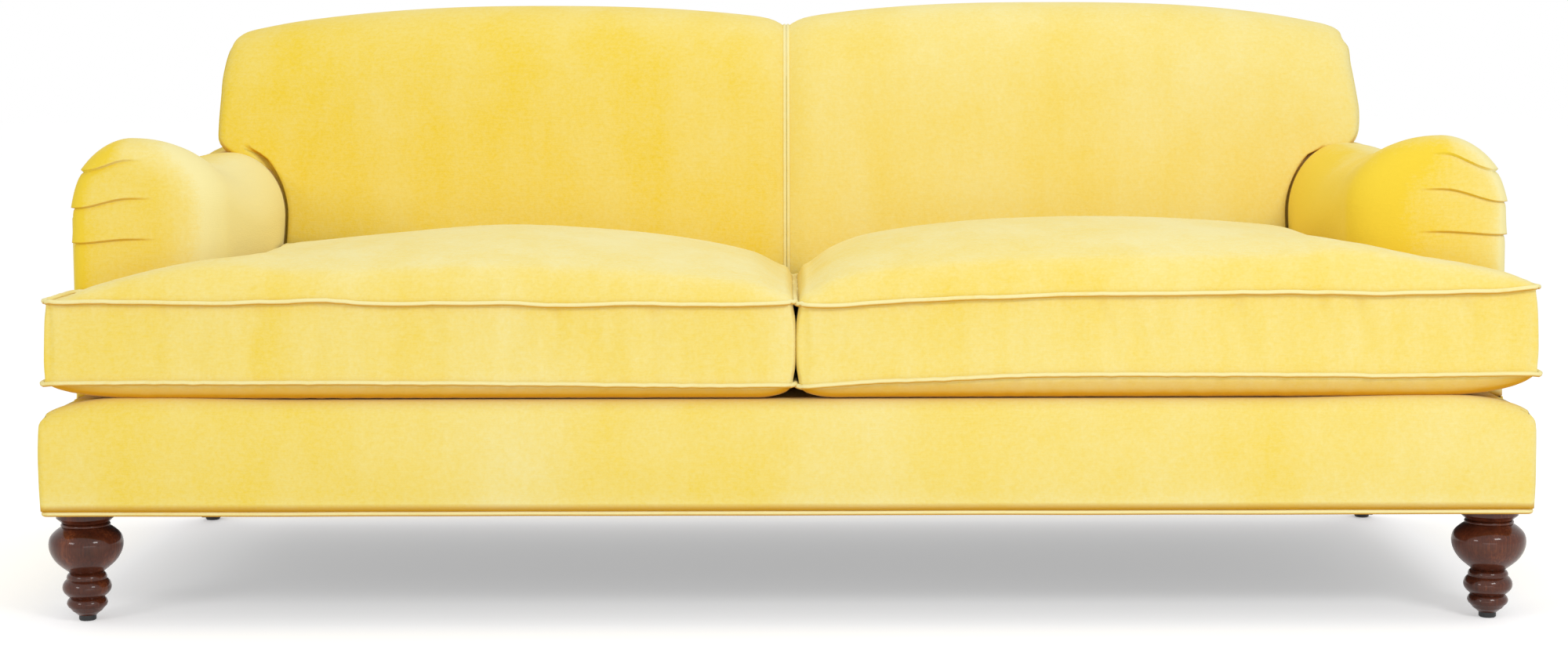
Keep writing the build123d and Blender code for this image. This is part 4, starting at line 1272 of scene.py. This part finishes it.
def blown(bm, pins):
    """Blows the cushion up as cloth and keeps the result, with no point moved by more than the cap."""
    mesh = bpy.data.meshes.new("blank")
    bm.to_mesh(mesh)
    holder = bpy.data.objects.new("blank", mesh)
    scene.collection.objects.link(holder)
    group = holder.vertex_groups.new(name="pins")
    for index, weight in pins:
        group.add([index], weight, "REPLACE")
    cloth = holder.modifiers.new("cloth", "CLOTH")
    for setting, value in {
        "quality": 5, "mass": 0.3, "use_pressure": True, "uniform_pressure_force": 4.0, "shrink_min": -0.016,
        "tension_stiffness": 25, "compression_stiffness": 18, "shear_stiffness": 8, "bending_stiffness": 0.4,
        "air_damping": 2, "vertex_group_mass": "pins",
    }.items():
        setattr(cloth.settings, setting, value)
    cloth.settings.effector_weights.gravity = 0
    cloth.collision_settings.use_collision = False
    cloth.collision_settings.use_self_collision = False
    for frame_number in range(1, BLOW_FRAMES + 1):
        scene.frame_set(frame_number)
    made = holder.evaluated_get(bpy.context.evaluated_depsgraph_get()).data
    moved = 0.0
    for old, new in zip(bm.verts, made.vertices):
        step = new.co - old.co
        moved = max(moved, step.length)
        if step.length > BLOW_CAP:
            step *= BLOW_CAP / step.length
        old.co += step
        old.co.z = max(old.co.z, deck_top + 0.0006)
    scene.frame_set(1)
    bpy.data.objects.remove(holder)
    bpy.data.meshes.remove(mesh)
    print("largest move of the cloth", round(moved, 4), "crown now", round(max(v.co.z for v in bm.verts), 3))


def seam_loops(bm):
    """The two closed lines of seam, as lists of points in order."""
    bm.edges.index_update()
    left = {e for e in bm.edges if e.seam}
    loops = []
    while left:
        edge = min(left, key=lambda e: e.index)
        left.discard(edge)
        first, vert = edge.verts
        loop = [first, vert]
        while vert is not first:
            edge = next(e for e in vert.link_edges if e in left)
            left.discard(edge)
            vert = edge.other_vert(vert)
            loop.append(vert)
        loops.append(loop[:-1])
    return loops


def seat_cushion(name, sign):
    """One loose cushion with its two lines of piping."""
    body = f"{name}_seat_cushion"
    bm, pins = cushion_blank(name, sign)
    blown(bm, pins)
    bm.normal_update()
    crease = bm.edges.layers.float.new("crease_edge")
    for edge in bm.edges:
        if edge.seam:
            edge[crease] = SEAM_CREASE
    first, second = (
        cord_mesh([v.co + v.normal * WELT_OUT for v in loop], WELT_RADIUS) for loop in seam_loops(bm)
    )
    cords = joined(first, second)
    core = bm.copy()
    for vert in core.verts:
        vert.co -= vert.normal * CORE_DEPTH
        vert.co.z = min(max(vert.co.z, deck_top + 0.014), deck_top + 0.225)
    piece(f"{name}_seat_core", core, body, FINISHES["foam"], f"{name}_cushion_core")
    cover = piece(f"{name}_seat_cover", bm, body, VELVET_SEAT, f"{name}_cushion_cover")
    smooth = cover.modifiers.new("smooth", "SUBSURF")
    smooth.levels = smooth.render_levels = 1
    piece(f"{name}_seat_piping", cords, body, VELVET_PIPING, f"{name}_cushion_welts")
    return cover


seat_cushion("left", -1)
seat_cushion("right", 1)

# %% [markdown]
# ## Light, floor and background
# A soft lamp stands to the front right and above, and a weaker one to the left: these two put the
# highlights on the lacquered legs. The sky and a wide lamp overhead fill in, and a low one reaches under
# the overhang of the cushions. The floor is as white as the background, so only the shadow of the sofa
# shows on it.

# %% Light and floor
FLOOR_WHITE = 0.39
FLOOR_REACH = 30
SKY = 0.66
WHITE = (1, 1, 1, 1)


def area_lamp(name, at, towards, size, watts):
    """A soft rectangular lamp."""
    lamp = bpy.data.lights.new(name, "AREA")
    lamp.shape = "RECTANGLE"
    lamp.size, lamp.size_y = size
    lamp.energy = watts
    holder = bpy.data.objects.new(name, lamp)
    holder.location = at
    holder.rotation_euler = (Vector(towards) - Vector(at)).to_track_quat("-Z", "Y").to_euler()
    scene.collection.objects.link(holder)


area_lamp("key", (1.8, -3.1, 2.3), (0, 0, 0.35), (1.1, 0.75), 33)
area_lamp("fill", (-2.7, -3.0, 1.6), (0, 0, 0.35), (0.9, 0.65), 15)
area_lamp("top", (0, 0.2, 3.2), (0, 0, 0), (3.0, 2.0), 16)
area_lamp("low", (0.4, -3.1, 0.32), (0, 0, 0.36), (2.2, 0.4), 4)

studio = Finish("studio", "World")
sky = studio.node("ShaderNodeBackground", {}, {"Color": WHITE, "Strength": SKY})
white = studio.node("ShaderNodeBackground", {}, {"Color": WHITE, "Strength": 1.0})
scene.world = studio.show(studio.node("ShaderNodeMixShader", {}, {0: studio.seen(), 1: sky, 2: white}))

bm = bmesh.new()
bmesh.ops.create_grid(bm, x_segments=1, y_segments=1, size=FLOOR_REACH)
mesh = bpy.data.meshes.new("floor")
bm.to_mesh(mesh)
bm.free()
floor = bpy.data.objects.new("floor", mesh)
scene.collection.objects.link(floor)
paint = Finish("floor_paint")
matt = paint.node("ShaderNodeBsdfDiffuse", {}, {"Color": (0.93, 0.93, 0.93, 1)})
glow = paint.node("ShaderNodeEmission", {}, {"Color": WHITE, "Strength": FLOOR_WHITE})
both = paint.node("ShaderNodeAddShader", {}, {0: matt, 1: glow})
mesh.materials.append(paint.show(paint.node("ShaderNodeMixShader", {}, {0: paint.seen(), 1: matt, 2: both})))
print("lamps:", [lamp.name for lamp in bpy.data.lights], "and a floor", 2 * FLOOR_REACH, "m wide")
